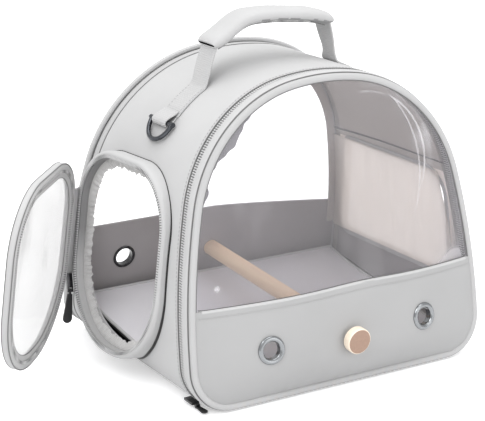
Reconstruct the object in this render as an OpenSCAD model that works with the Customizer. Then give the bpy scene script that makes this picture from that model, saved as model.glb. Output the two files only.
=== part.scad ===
// Soft-sided travel carrier for a small bird: a fabric shell on stiff boards, a clear front that
// zips open, a zipped side door, a mesh window, a perch, a loose floor board and a top handle.
// Seen from the front: +X right, -Y towards the viewer, +Z up. The origin is on the table, under
// the middle of the base.

/* [Body] */
// Greatest width of the body, wall to wall
body_w = 300; // [294:1:306]
// Height of the body at the crown of the roof
body_h = 268; // [264:1:272]
// Depth of the base, front to rear
base_d = 244; // [240:1:248]
// Backward lean of the front, in degrees
front_lean = 7.9; // [7:0.1:8.5]
// Forward lean of the rear, in degrees
rear_lean = 10.1; // [9:0.1:11]
// Radius of the rounded lower corners
corner_r = 38; // [36:1:40]
// Radius of the gently curved side walls
side_r = 590; // [560:10:620]

/* [Shell layers] */
// Thickness of the outer fabric
fabric_t = 1.2; // [0.8:0.1:1.4]
// Thickness of the stiffening boards
board_t = 2.8; // [2.4:0.1:3]
// Thickness of the inner lining
lining_t = 0.8; // [0.6:0.1:1]
// Width of the rounded edge bindings
binding_w = 5.8; // [5:0.1:6.4]

/* [Front] */
// Height of the top edge of the lower front panel
hem_z = 90; // [88:1:96]
// How far the lower front panel bulges forward
front_bulge = 16; // [14:0.5:17]
// Half the distance between the two front eyelets
front_eyelet_x = 79; // [74:1:84]
// Height of the front eyelets
front_eyelet_z = 48; // [44:1:52]

/* [Rear] */
// Height of the top edge of the lower rear panel
rear_hem_z = 100; // [96:1:104]
// Distance of the rear eyelet from the middle, towards the side door
rear_eyelet_x = 95; // [90:1:100]
// Height of the rear eyelet
rear_eyelet_z = 69; // [64:1:74]

/* [Side door] */
// Width of the door and of the raised collar round its opening
door_w = 155.8; // [150:0.2:158]
// Height of the door
door_h = 176; // [170:1:178]
// Corner radius at the top of the door
door_top_r = 56; // [50:1:60]
// Corner radius at the bottom of the door
door_bottom_r = 73.6; // [68:0.2:75]
// Thickness of the padded door frame
door_t = 8; // [7:0.5:9]
// How far the door stands open, in degrees
door_open = 45.8; // [40:0.1:50]

/* [Mesh window] */
// Depth of the mesh window in the right wall
mesh_w = 178; // [160:1:180]
// Height of the mesh window
mesh_h = 98; // [90:1:100]

/* [Perch and floor] */
// Diameter of the wooden perch
perch_d = 15; // [14:0.5:16]
// Rise of the perch towards the rear, in degrees
perch_rise = 3.4; // [3:0.1:3.6]
// Diameter of the wooden knobs that hold the perch
knob_d = 23; // [21:1:24]
// Thickness of the loose floor board
floor_t = 4; // [3:0.5:4]
// Rise of the floor board towards the rear, in degrees
floor_rise = 6.3; // [5.8:0.1:6.5]

/* [Handle and rings] */
// Width of the handle webbing
webbing_w = 25; // [22:1:26]
// Where the handle leaves the roof on the left
handle_left_x = -78; // [-80:1:-74]
// Where the handle leaves the roof on the right
handle_right_x = 60; // [56:1:64]
// Length of the padded grip, end to end
grip_span = 130; // [126:1:134]
// Rise of the grip's arch over its span
grip_arch = 16.5; // [16:0.5:18]
// How far the grip is turned, its right end up, in degrees
grip_tilt = 4.5; // [4:0.1:5]
// Wire diameter of the two strap rings
ring_wire = 4; // [3.5:0.5:4]

/* [Hidden] */
$fn = 64;
reach = 400;                        // longer than the body in every direction
half_w = body_w / 2;
half_d = base_d / 2;
plane_z = 6;                        // height at which the base's depth is measured
front_slope = tan(front_lean);
rear_slope = tan(rear_lean);
board_in = fabric_t + board_t;      // inner face of the boards, in from the outer surface
lining_in = board_in + lining_t;    // inner face of the lining
binding_out = 1.2;                  // outer edge of a binding, in from the outer surface
binding_in = binding_out + binding_w;
binding_d = 4;                      // depth of a binding, front to rear
board_low = 4;                      // underside of the side boards
board_from = half_w - corner_r + 3; // lower edge of the side boards, out from the middle
roof_z = 200;                       // where the side boards meet the roof board
crease = 0.4;                       // gap where the zip parts
gusset_end = 13.2;                  // rear edge of the flap's gusset, back from the front plane
zip_w = 2.8;                        // width of one zip row
zip_t = 2;                          // thickness of a zip row
wrap_start = gusset_end + 2 * zip_w + crease;
rear_band_w = 13;                   // width of the band round the rear edge
rear_gap = 4.2;                     // the boards stop this far from the rear plane
panel_t = 2.4;                      // thickness of the lower rear panel
hem_h = 6;                          // height of the sewn hems
window_t = 0.8;                     // thickness of the clear sheets
window_at = 1.6;                    // front face of the front window, behind the front plane

cloth = "#dedfe0";
cloth_shade = "#c6c7c8";
trim = "#d2d2d4";
seam_dark = "#8c8a88";
clear = [0.95, 0.97, 1, 0.35];
netting = "#eae7e1";
chrome = "#c4c6ca";
gunmetal = "#3c3f45";
pale_wood = "#d8ac8c";
brass = "#c4a354";
black = "#17181a";
board_colour = "#b7b1a6";
floor_colour = "#cbcad8";

// The body's outline, seen from the front: lower corner, side, shoulder and crown arcs that
// run smoothly into each other. The two angles are where the arcs meet.
side_a = 13;
shoulder_a = 81;
side_end = [half_w - side_r * (1 - cos(side_a)), corner_r + side_r * sin(side_a)];
crown_k = (1 - sin(shoulder_a)) / cos(shoulder_a);
shoulder_r = (body_h - side_end[1] - side_end[0] * crown_k)
    / ((sin(shoulder_a) - sin(side_a)) - crown_k * (cos(side_a) - cos(shoulder_a)));
shoulder_c = side_end - shoulder_r * [cos(side_a), sin(side_a)];
shoulder_end = shoulder_c + shoulder_r * [cos(shoulder_a), sin(shoulder_a)];
crown_r = shoulder_end[0] / cos(shoulder_a);

function arc(c, r, a0, a1, n) = [for (i = [0:n]) c + r * [cos(a0 + (a1 - a0) * i / n), sin(a0 + (a1 - a0) * i / n)]];
function tail(list) = [for (i = [1:len(list) - 1]) list[i]];
function mirrored(list) = [for (i = [len(list) - 1:-1:0]) [-list[i][0], list[i][1]]];
// Right half of the outline, moved inwards by d
function half_outline(d) = concat(
    arc([half_w - corner_r, corner_r], corner_r - d, -90, 0, 8),
    tail(arc([half_w - side_r, corner_r], side_r - d, 0, side_a, 4)),
    tail(arc(shoulder_c, shoulder_r - d, side_a, shoulder_a, 16)),
    tail(arc([0, body_h - crown_r], crown_r - d, shoulder_a, 90, 2)));
function outline(d) = concat(half_outline(d), tail(mirrored(half_outline(d))));
// A point on the shoulder, at the angle a from level, d outside the surface
function shoulder_point(a, d) = shoulder_c + (shoulder_r + d) * [cos(a), sin(a)];
// Height of the outer surface over the place x on the shoulder
function roof_at(x) = shoulder_c[1] + sqrt(pow(shoulder_r, 2) - pow(abs(x) - shoulder_c[0], 2));

// A rounded rectangle with its own radii at top and bottom, moved inwards by d
function rounded(w, h, top_r, bottom_r, d) = let (x = w / 2, y = h / 2) concat(
    arc([x - bottom_r, bottom_r - y], bottom_r - d, -90, 0, 10),
    arc([x - top_r, y - top_r], top_r - d, 0, 90, 10),
    arc([top_r - x, y - top_r], top_r - d, 90, 180, 10),
    arc([bottom_r - x, bottom_r - y], bottom_r - d, 180, 270, 10));
function door_outline(d) = rounded(door_w, door_h, door_top_r, door_bottom_r, d);

// Everything inside the outline moved inwards by d
module core(d) {
    rotate([90, 0, 0])
        linear_extrude(reach, center = true)
            polygon(outline(d));
}

// The layer between the outline moved inwards by d0 and by d1
module layer(d0, d1) {
    rotate([90, 0, 0])
        linear_extrude(reach, center = true)
            difference() {
                polygon(outline(d0));
                polygon(outline(d1));
            }
}

// A side profile, given as points of depth and height, run across the whole width
module across(points, w = reach) {
    rotate([90, 0, 90])
        linear_extrude(w, center = true)
            polygon(points);
}

// Points at the height z, moved back from the front plane or forward from the rear plane
function front_pt(back, z) = [-half_d + front_slope * (z - plane_z) + back, z];
function rear_pt(ahead, z) = [half_d - rear_slope * (z - plane_z) - ahead, z];

low = -20;
high = 340;
module from_front(a, b) {
    across([front_pt(a, low), front_pt(b, low), front_pt(b, high), front_pt(a, high)]);
}
module from_rear(a, b) {
    across([rear_pt(b, low), rear_pt(a, low), rear_pt(a, high), rear_pt(b, high)]);
}
module front_to_rear(a, b) {
    across([front_pt(a, low), rear_pt(b, low), rear_pt(b, high), front_pt(a, high)]);
}
module heights(z0, z1) {
    translate([-reach / 2, -reach / 2, z0])
        cube([reach, reach, z1 - z0]);
}
module right_of(x) {
    translate([x, -reach / 2, -reach / 4])
        cube(reach);
}
module left_of(x) {
    mirror([1, 0, 0])
        right_of(-x);
}

// The side door's collar: x to the front, y up, z outwards, from the middle of the rim
collar_at = [-154.6, 7.9, 106.4];
collar_yaw = 1.1;
collar_lean = 8;
collar_tilt = 2.1;
module at_collar() {
    translate(collar_at)
        rotate([0, collar_lean, collar_yaw])
            rotate([90, 0, -90])
                rotate([0, 0, collar_tilt])
                    children();
}
module door_prism(d, z0, z1) {
    at_collar()
        translate([0, 0, z0])
            linear_extrude(z1 - z0)
                polygon(door_outline(d));
}
module door_ring(d0, d1, z0, z1) {
    at_collar()
        translate([0, 0, z0])
            linear_extrude(z1 - z0)
                difference() {
                    polygon(door_outline(d0));
                    polygon(door_outline(d1));
                }
}
collar_w = 5.6;                     // width of the collar's rim
collar_deep = 40;                   // the collar starts this far inside its rim, then is cut to the wall
collar_fit = 0.2;                   // gap between the collar and the wall it is sewn into

// The line that the side door swings about, and the swing
hinge_at = [-169.2, 85.9, 102.5];
hinge_axis = [0.0838, -0.0336, -0.9959];
module swung() {
    translate(hinge_at)
        rotate(door_open, hinge_axis)
            translate(-hinge_at)
                children();
}

// The mesh window's opening in the right wall
mesh_at = [0, 11, 112];
mesh_r = 24;
mesh_rear = 20;                     // the window's rear edge, ahead of the rear plane
module mesh_prism(d) {
    intersection() {
        translate(mesh_at)
            rotate([90, 0, 90])
                linear_extrude(reach / 2)
                    polygon(rounded(mesh_w, mesh_h, mesh_r, mesh_r, d));
        front_to_rear(wrap_start, mesh_rear + d);
    }
}

// ---- Fixed shell ----

module cover() {
    color(cloth)
        difference() {
            intersection() {
                layer(0, fabric_t);
                front_to_rear(wrap_start, rear_band_w);
                heights(fabric_t, reach);
            }
            door_prism(-collar_fit, -collar_deep, collar_deep);
            mesh_prism(0);
        }
}

front_clear = 7;                    // the base stops this far behind the front plane, clear of the flap
module base_cover() {
    color(cloth_shade)
        intersection() {
            core(0);
            front_to_rear(front_clear, rear_gap);
            heights(0, fabric_t);
        }
}

module base_board() {
    color(board_colour)
        intersection() {
            core(fabric_t);
            front_to_rear(front_clear, rear_gap);
            heights(fabric_t, board_low);
        }
}

module wall_board() {
    intersection() {
        layer(fabric_t, board_in);
        front_to_rear(wrap_start, rear_gap);
        heights(board_low, roof_z);
        children();
    }
}

module left_board() {
    color(board_colour)
        difference() {
            wall_board() left_of(-board_from);
            door_prism(-collar_fit, -collar_deep, collar_deep);
        }
}

module right_board() {
    color(board_colour)
        difference() {
            wall_board() right_of(board_from);
            mesh_prism(0);
        }
}

module roof_board() {
    color(board_colour)
        intersection() {
            layer(fabric_t, board_in);
            front_to_rear(wrap_start, rear_gap);
            heights(roof_z, reach);
        }
}

module lining() {
    color("#aaa59f")
        difference() {
            intersection() {
                layer(board_in, lining_in);
                front_to_rear(wrap_start, rear_gap);
            }
            door_prism(-collar_fit, -collar_deep, collar_deep);
            mesh_prism(0);
        }
}

module body_zip_row() {
    color(trim)
        intersection() {
            layer(0.2, 0.2 + zip_t);
            from_front(wrap_start - zip_w, wrap_start);
            heights(5, reach);
        }
}

module rear_band() {
    color(cloth)
        difference() {
            intersection() {
                layer(0, fabric_t);
                from_rear(binding_d, rear_band_w);
                heights(fabric_t, reach);
            }
            door_prism(-collar_fit, -collar_deep, collar_deep);
        }
}

module rear_binding() {
    color(trim)
        intersection() {
            layer(binding_out, binding_in);
            from_rear(0, binding_d);
        }
}

rear_panel_at = 1.2;                // outer face of the rear panel, ahead of the rear plane
module rear_panel() {
    color("#909090")
        difference() {
            intersection() {
                core(binding_in);
                from_rear(rear_panel_at, rear_panel_at + panel_t);
                heights(binding_in, rear_hem_z - hem_h);
            }
            on_rear(-rear_eyelet_x, rear_eyelet_z)
                cylinder(h = 20, r = eyelet_barrel_r + 0.1, center = true);
            along_perch(rear_end_s)
                cylinder(h = 30, r = screw_r + 0.1, center = true);
        }
}

module rear_hem() {
    color(trim)
        intersection() {
            core(binding_in);
            from_rear(rear_panel_at - 0.4, rear_panel_at + panel_t + 0.4);
            heights(rear_hem_z - hem_h, rear_hem_z);
        }
}

module rear_window() {
    color(clear)
        intersection() {
            core(binding_in);
            from_rear(rear_panel_at + 0.8, rear_panel_at + 0.8 + window_t);
            heights(rear_hem_z, reach);
        }
}

// ---- Eyelets ----

eyelet_bore_r = 7.5;
eyelet_barrel_r = 8.5;
eyelet_flange_r = 12.3;
washer_t = 1;
// Height and radius of an eyelet's rounded rim, as an arc from its outer edge to its bore
rim_h = 2;
rim_mid_r = (eyelet_flange_r + eyelet_bore_r) / 2;
rim_half_w = (eyelet_flange_r - eyelet_bore_r) / 2;
function rim_profile() = concat([[eyelet_bore_r, 0], [eyelet_flange_r, 0]],
    [for (i = [1:7]) [rim_mid_r + rim_half_w * cos(180 * i / 8), rim_h * sin(180 * i / 8)]]);

// An eyelet on z = 0, with its barrel going down through a sheet of thickness t
module eyelet(t) {
    rotate_extrude()
        polygon(rim_profile());
    translate([0, 0, -t - washer_t - 0.4])
        difference() {
            cylinder(h = t + washer_t + 0.4, r = eyelet_barrel_r);
            translate([0, 0, -1])
                cylinder(h = t + washer_t + 2.4, r = eyelet_bore_r);
        }
}
washer_gap = 0.15;                  // leaves room for the bulged panel's curved back
module eyelet_washer(t) {
    translate([0, 0, -t - washer_t - washer_gap])
        difference() {
            cylinder(h = washer_t, r = eyelet_flange_r);
            translate([0, 0, -1])
                cylinder(h = washer_t + 2, r = eyelet_barrel_r + 0.05);
        }
}

// A place on the rear panel's outer face, with z outwards
module on_rear(x, z) {
    translate([x, rear_pt(rear_panel_at, z)[0], z])
        rotate([-90 + rear_lean, 0, 0])
            children();
}
module rear_eyelet() {
    color(black)
        on_rear(-rear_eyelet_x, rear_eyelet_z)
            eyelet(panel_t);
}
module rear_eyelet_washer() {
    color(black)
        on_rear(-rear_eyelet_x, rear_eyelet_z)
            eyelet_washer(panel_t);
}

// ---- Mesh window ----

module mesh_window() {
    color(netting)
        intersection() {
            layer(2.2, 3);
            right_of(0);
            mesh_prism(0);
        }
}
mesh_trim_w = 6;
module mesh_window_trim() {
    color(trim)
        difference() {
            intersection() {
                layer(lining_in, lining_in + 1.2);
                right_of(0);
                mesh_prism(-mesh_trim_w);
            }
            mesh_prism(0);
        }
}

// ---- Door collar ----

// The part of a solid that is outside the body's inner face
module outside_cabin() {
    difference() {
        children();
        core(lining_in);
    }
}
module door_collar() {
    color(cloth)
        outside_cabin()
            door_ring(0, collar_w, -collar_deep, 0);
}
collar_lining_t = 0.9;
module collar_lining() {
    color("#6f6d6b")
        outside_cabin()
            door_ring(collar_w, collar_w + collar_lining_t, -collar_deep, -0.8);
}
rim_zip_t = 1.4;
module collar_zip_row() {
    color(trim)
        door_ring(0.8, 5, 0, rim_zip_t);
}
fringe_in = 13;                     // how far the mesh fringe reaches in from the rim's outline
module collar_fringe() {
    color(netting)
        door_ring(collar_w + collar_lining_t, fringe_in, -5, -4);
}
hinge_strip_v = [-28, 47];          // the fabric hinge's ends, up the door
module door_hinge_strip() {
    color(trim)
        at_collar()
            translate([-door_w / 2 - 1.4, hinge_strip_v[0], -8])
                cube([1.2, hinge_strip_v[1] - hinge_strip_v[0], 7.5]);
}

// ---- Side door ----

door_gap = 0.4;                     // between the closed door and the collar's zip row
door_z = rim_zip_t + door_gap;
door_band_w = 10;
module door_band() {
    color(trim)
        swung()
            door_ring(0.5, door_band_w, door_z, door_z + door_t);
}
door_sheet_z = door_z + 3;
module door_panel() {
    color(clear)
        swung()
            door_prism(door_band_w, door_sheet_z, door_sheet_z + window_t);
}
module door_zip_row() {
    color(seam_dark)
        swung()
            door_ring(door_band_w, door_band_w + 3.4, door_z + 0.6, door_sheet_z);
}

slider_pin_r = 0.9;
pull_eye_r = slider_pin_r + 0.06;
door_slider_a = 20;                 // how far the parked slider is round the lower rear corner
door_slider_l = 13;
door_slider_z = [-0.6, 4.8];        // it reaches over both rows of the zip
door_corner = [door_bottom_r - door_w / 2, door_bottom_r - door_h / 2];
// The slider's pin, from the middle of the corner, before the turn to the slider's place
door_pin = [-door_bottom_r - 1.5, -door_slider_l / 2 - 2.4];
module at_door_slider() {
    at_collar()
        translate([door_corner[0], door_corner[1], 0])
            rotate([0, 0, door_slider_a])
                children();
}
module door_slider() {
    lug_t = 0.9;
    color(black)
        at_door_slider() {
            translate([-door_bottom_r - 2.8, -door_slider_l / 2, door_slider_z[0]])
                cube([2.8, door_slider_l, door_slider_z[1] - door_slider_z[0]]);
            for (z = [door_slider_z[0], door_slider_z[1] - lug_t])
                translate([-door_bottom_r - 2.8, -door_slider_l / 2 - 4, z])
                    cube([2.4, 4.5, lug_t]);
            translate([door_pin[0], door_pin[1], door_slider_z[0]])
                cylinder(h = door_slider_z[1] - door_slider_z[0], r = slider_pin_r);
        }
}
pull_l = 31;
pull_t = 2;
// A rubber pull, seen flat: a narrow eye end that widens to a rounded foot
function pull_shape(l, top_w, foot_w) = concat(
    [[top_w / 2, 0], [-top_w / 2, 0], [-foot_w / 2, -l + foot_w / 2]],
    tail(arc([0, -l + foot_w / 2], foot_w / 2, 180, 360, 10)));
module door_pull() {
    mid_z = (door_slider_z[0] + door_slider_z[1]) / 2;
    eye_w = 1.9;
    color(black)
        at_door_slider()
            translate([door_pin[0], door_pin[1], mid_z])
                rotate([0, 0, -door_slider_a - collar_tilt])
                    difference() {
                        union() {
                            cylinder(h = eye_w, r = 1.9, center = true);
                            translate([-pull_t / 2, -4, -eye_w / 2])
                                cube([pull_t, 4, eye_w]);
                            translate([0, -3.4, 0])
                                rotate([0, 90, 0])
                                    linear_extrude(pull_t, center = true)
                                        polygon(pull_shape(pull_l - 3.4, 4.6, 9));
                        }
                        cylinder(h = 10, r = pull_eye_r, center = true);
                    }
}

// ---- Perch, knobs and floor ----

perch_at = [0, -130, 47];           // where the perch's axis passes the front knob
screw_r = 3;
insert_r = 5;
insert_l = 8;
front_bore_r = 4.1;                 // loose, so that the front can swing away from the perch
perch_front = -12.2;                // the perch's front end, behind the front plane
rear_end_s = (half_d - rear_slope * 55 - perch_at[1]) / cos(perch_rise);
front_end_s = (-half_d + front_slope * 41 + perch_front - perch_at[1]) / cos(perch_rise);
// A place on the perch's axis, s behind perch_at, with z along the axis to the rear
module along_perch(s) {
    translate(perch_at)
        rotate([perch_rise - 90, 0, 0])
            translate([0, 0, s])
                children();
}
perch_rear_gap = rear_panel_at + panel_t + 0.2;
module perch_blank(r) {
    intersection() {
        along_perch(-20)
            cylinder(h = 300, r = r);
        front_to_rear(perch_front, perch_rear_gap);
    }
}
module perch() {
    color(pale_wood)
        difference() {
            perch_blank(perch_d / 2);
            along_perch(front_end_s - 4)
                cylinder(h = insert_l + 4, r = insert_r + 0.02);
            along_perch(rear_end_s - insert_l - 6)
                cylinder(h = insert_l + 12, r = insert_r + 0.02);
        }
}
module perch_inserts() {
    color(brass)
        difference() {
            intersection() {
                perch_blank(insert_r);
                union() {
                    along_perch(front_end_s - 4)
                        cylinder(h = insert_l + 4, r = insert_r + 1);
                    along_perch(rear_end_s - insert_l - 6)
                        cylinder(h = insert_l + 12, r = insert_r + 1);
                }
            }
            along_perch(front_end_s - 20)
                cylinder(h = insert_l + 40, r = front_bore_r);
            along_perch(rear_end_s - insert_l - 12)
                cylinder(h = insert_l + 30, r = screw_r + 0.06);
        }
}

knob_l = 7.7;
// A turned knob from z = 0 down to -knob_l, with a rounded front edge and a coned back
module knob(back_rise) {
    r = knob_d / 2;
    edge = 1.4;
    difference() {
        rotate_extrude()
            polygon(concat([[0, back_rise]], [[r * 0.45, back_rise]], [[r, 0]],
                [for (i = [0:4]) [r - edge + edge * cos(-90 * i / 4), -knob_l + edge + edge * sin(-90 * i / 4)]],
                [[0, -knob_l]]));
        translate([0, 0, -knob_l + 3])
            cylinder(h = knob_l + 4, r = screw_r + 0.02);
    }
}
knob_front_y = -143;                // the front knob's flat face
front_knob_s = (knob_front_y - perch_at[1]) / cos(perch_rise) + knob_l;
module front_knob() {
    color(pale_wood)
        along_perch(front_knob_s)
            knob(1.6);
}
module front_knob_screw() {
    color(brass)
        along_perch(front_knob_s - knob_l + 3)
            cylinder(h = front_end_s + 3 - (front_knob_s - knob_l + 3), r = screw_r);
}
rear_knob_s = rear_end_s + 0.8;     // clear of the leaning rear panel
module rear_knob() {
    color(pale_wood)
        along_perch(rear_knob_s)
            mirror([0, 0, 1])
                knob(1);
}
module rear_knob_screw() {
    color(brass)
        along_perch(rear_end_s - insert_l - 2)
            cylinder(h = rear_knob_s + knob_l - 3 - (rear_end_s - insert_l - 2), r = screw_r);
}

floor_mid = [0, -3, 23];            // middle of the floor board's top face
floor_l = 217;
floor_w = 276;
module floor_board() {
    color(floor_colour)
        intersection() {
            core(lining_in + 1.4);
            translate(floor_mid)
                rotate([floor_rise, 0, 0])
                    translate([-floor_w / 2, -floor_l / 2, -floor_t])
                        cube([floor_w, floor_l, floor_t]);
        }
}
function floor_under(y) = floor_mid[2] + tan(floor_rise) * (y - floor_mid[1]) - floor_t / cos(floor_rise);
// Wedges on the base that carry the floor board, each given by its front and rear edge
wedges = [[-98, -84], [64, 92]];
module floor_wedges() {
    color(board_colour)
        for (w = wedges)
            across([[w[0], lining_in], [w[1], lining_in], [w[1], floor_under(w[1]) - 0.2],
                [w[0], floor_under(w[0]) - 0.2]], 200);
}

// ---- Front flap ----

// A place on the front plane, up the plane from its foot, with z outwards
module on_front() {
    translate([0, -half_d, plane_z])
        rotate([90 - front_lean, 0, 0])
            children();
}
bulge_r = 700;                      // radius of the bulged front panel, seen from above
panel_foot = 7;                     // height of the panel's lower edge
panel_wall = 3.2;                   // thickness of the padded front panel
foot_rise = 1.44;                   // rise of the panel's slanted foot, for its run
// Everything behind the bulged face moved inwards by d
module bow(d) {
    on_front()
        translate([0, reach, front_bulge - bulge_r])
            rotate([90, 0, 0])
                cylinder(h = 2 * reach, r = bulge_r - d, $fn = 360);
}
// The space inside the bulged front, with its face moved inwards by d and its slanted foot
// raised by foot_d, up to the height top_z and back to the depth back
far = front_bulge + 4;
module pocket(d, foot_d, top_z, back = window_at) {
    foot_z = panel_foot + foot_d;
    intersection() {
        bow(d);
        across([front_pt(back, foot_z), front_pt(0, foot_z),
            front_pt(-far, foot_z + far * foot_rise), front_pt(-far, top_z), front_pt(back, top_z)]);
        core(binding_in + max(d, 0));
    }
}
// A place on the bulged panel's outer face, x round to the right and z_up high, with z outwards
module on_panel(x, z_up) {
    on_front()
        translate([0, (z_up - plane_z) / cos(front_lean), front_bulge - bulge_r])
            rotate([0, asin(x / bulge_r), 0])
                translate([0, 0, bulge_r])
                    children();
}
module flap_panel() {
    color(cloth_shade)
        difference() {
            pocket(0, 0, hem_z - hem_h);
            bow(panel_wall);
            for (side = [-1, 1])
                on_panel(side * front_eyelet_x, front_eyelet_z)
                    cylinder(h = 20, r = eyelet_barrel_r + 0.1, center = true);
            along_perch(front_end_s)
                cylinder(h = 30, r = screw_r + 0.08, center = true);
        }
}
module flap_panel_foot() {
    top = panel_foot + panel_wall;
    color(cloth_shade)
        intersection() {
            bow(panel_wall);
            core(binding_in);
            across([front_pt(window_at, panel_foot), front_pt(0, panel_foot),
                front_pt(-far, panel_foot + far * foot_rise), front_pt(-far, top + far * foot_rise),
                front_pt(0, top), front_pt(window_at, top)]);
        }
}
shelf_t = 1.6;
module flap_hem() {
    color(trim)
        difference() {
            pocket(-0.6, -0.6, hem_z);
            heights(low, hem_z - hem_h);
            intersection() {
                pocket(panel_wall, panel_wall, reach, window_at + 1);
                heights(low, hem_z - shelf_t);
            }
        }
}
module flap_window() {
    color(clear)
        intersection() {
            core(binding_in);
            from_front(window_at, window_at + window_t);
            heights(hem_z - hem_h, reach);
        }
}
module flap_binding() {
    color(trim)
        intersection() {
            layer(binding_out, binding_in);
            from_front(0, binding_d);
        }
}
module flap_gusset() {
    color(cloth)
        intersection() {
            layer(0, fabric_t);
            from_front(binding_d, gusset_end);
            heights(8, reach);
        }
}
module flap_zip_row() {
    color(trim)
        intersection() {
            layer(0.2, 0.2 + zip_t);
            from_front(gusset_end, gusset_end + zip_w);
            heights(8, reach);
        }
}
module flap_eyelets() {
    color(chrome)
        for (side = [-1, 1])
            on_panel(side * front_eyelet_x, front_eyelet_z)
                eyelet(panel_wall);
}
module flap_eyelet_washers() {
    color(chrome)
        for (side = [-1, 1])
            on_panel(side * front_eyelet_x, front_eyelet_z)
                eyelet_washer(panel_wall);
}
module flap_hinge_strip() {
    color(seam_dark)
        translate([-105, -half_d + 3.8, 0.2])
            cube([210, 2.4, 0.8]);
}

// ---- Front zip slider and pull, under the left front corner ----

front_slider_at = [-135.2, -84, 0];
front_pin_y = -100.4;
module front_slider() {
    color(black) {
        translate([front_slider_at[0] - 3.6, front_slider_at[1] - 14, 2.5])
            cube([7.2, 14, 2.2]);
        translate([front_slider_at[0] - 2, front_pin_y - 2, 2.5])
            cube([4, 5, 1.6]);
        translate([front_slider_at[0], front_pin_y, 0.7])
            cylinder(h = 2.2, r = slider_pin_r);
        translate([front_slider_at[0], front_pin_y, 0.3])
            cylinder(h = 0.5, r = 1.7);
    }
}
module front_pull() {
    color(black)
        translate([front_slider_at[0], front_pin_y, 0.9])
            difference() {
                union() {
                    cylinder(h = 1.5, r = 2.2);
                    linear_extrude(1.5)
                        polygon(pull_shape(15, 3.4, 6));
                }
                translate([0, 0, -1])
                    cylinder(h = 4, r = pull_eye_r);
            }
}

// ---- Webbing, strap rings and handle ----

strap_y = -5;                       // middle of the webbing, front to rear
webbing_t = 1.6;
ring_a = 39.5;                      // angle on the shoulder where the strap rings hang
ring_off = 4.2;                     // the ring's bar stands this far off the surface
ring_lean = 34;                     // the hanging ring's lean from upright, against the wall
ring_r = 17;
loop_bore_r = ring_wire / 2 + 0.5;
loop_r = loop_bore_r + 1.3;
loop_l = 23;
// Webbing sewn to the shoulder, from a strap ring up to the place lift_x
module shoulder_webbing(lift_x) {
    top = roof_at(lift_x);
    start_z = shoulder_point(ring_a, 0)[1] + 3.4;   // clear of the loop round the ring's bar
    color(cloth)
        intersection() {
            layer(-webbing_t, 0);
            translate([min(0, sign(lift_x) * reach), strap_y - webbing_w / 2, start_z])
                cube([reach, webbing_w, top - start_z]);
            if (lift_x < 0)
                left_of(lift_x);
            else
                right_of(lift_x);
        }
}
module handle_webbing_left() { shoulder_webbing(handle_left_x); }
module handle_webbing_right() { shoulder_webbing(handle_right_x); }

// The right strap ring's bar, with z up the wall and x outwards
module at_ring_bar(lean) {
    p = shoulder_point(ring_a, ring_off);
    translate([p[0], strap_y, p[1]])
        rotate([0, -lean, 0])
            children();
}
module ring_loop() {
    tail_l = 10;
    color(cloth)
        at_ring_bar(ring_a)
            difference() {
                union() {
                    rotate([90, 0, 0])
                        cylinder(h = loop_l, r = loop_r, center = true);
                    translate([-2.3, -loop_l / 2, 0])
                        cube([3.2, loop_l, tail_l]);
                }
                rotate([90, 0, 0])
                    cylinder(h = loop_l + 2, r = loop_bore_r, center = true);
            }
}
module ring_loop_left() { mirror([1, 0, 0]) ring_loop(); }
module ring_loop_right() { ring_loop(); }
module strap_ring() {
    bar_r = ring_wire / 2 + 0.2;
    color(gunmetal)
        at_ring_bar(ring_lean) {
            rotate([90, 0, 0])
                cylinder(h = 2 * ring_r + ring_wire + 0.8, r = bar_r, center = true);
            rotate([0, 0, 90])
                rotate([-90, 0, 0])
                    rotate_extrude(angle = 180)
                        translate([ring_r, 0])
                            circle(ring_wire / 2);
        }
}
module strap_ring_left() { mirror([1, 0, 0]) strap_ring(); }
module strap_ring_right() { strap_ring(); }

// The handle: each riser has a rounded foot, centred on the line that the handle folds about
riser_t = 2;
foot_gap = 1.5;
left_pivot = [handle_left_x, roof_at(handle_left_x) + foot_gap + webbing_w / 2];
right_pivot = [handle_right_x, roof_at(handle_right_x) + foot_gap + webbing_w / 2];
grip_outer_r = (pow(grip_span / 2, 2) + pow(grip_arch, 2)) / (2 * grip_arch);
grip_half_a = asin(grip_span / 2 / grip_outer_r);
grip_t = 14;
grip_w = 30;
grip_mid_r = grip_outer_r - grip_t / 2;
grip_top = 315.5;
grip_c = [(handle_left_x + handle_right_x) / 2 + 9.7, grip_top - grip_outer_r];
function grip_end(side) = let (a = side * grip_half_a - grip_tilt)
    grip_c + grip_mid_r * [sin(a), cos(a)];
// A webbing riser from its pivot to the end of the grip
module riser(pivot, side) {
    to = grip_end(side);
    run = to - pivot;
    l = norm(run) - 3;
    lean = atan2(run[0], run[1]);
    translate([pivot[0], strap_y, pivot[1]])
        rotate([0, lean, 0])
            rotate([90, 0, 90])
                linear_extrude(riser_t, center = true)
                    polygon(concat([[webbing_w / 2, l], [-webbing_w / 2, l]],
                        arc([0, 0], webbing_w / 2, 180, 360, 16)));
}
module handle_risers() {
    color(cloth) {
        riser(left_pivot, -1);
        riser(right_pivot, 1);
    }
}
grip_pts = 20;
// Turns a circle's coordinate into that of a fuller, flatter oval
function rounded_off(v) = sign(v) * pow(abs(v), 0.7);
module handle_grip() {
    color(cloth)
        translate([grip_c[0], strap_y, grip_c[1]])
            rotate([90, -90 + grip_half_a - grip_tilt, 0])
                rotate_extrude(angle = 2 * grip_half_a, $fn = 180)
                    translate([grip_mid_r, 0])
                        polygon([for (i = [0:grip_pts - 1]) let (a = 360 * i / grip_pts)
                            [grip_t / 2 * rounded_off(cos(a)), grip_w / 2 * rounded_off(sin(a))]]);
}

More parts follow.
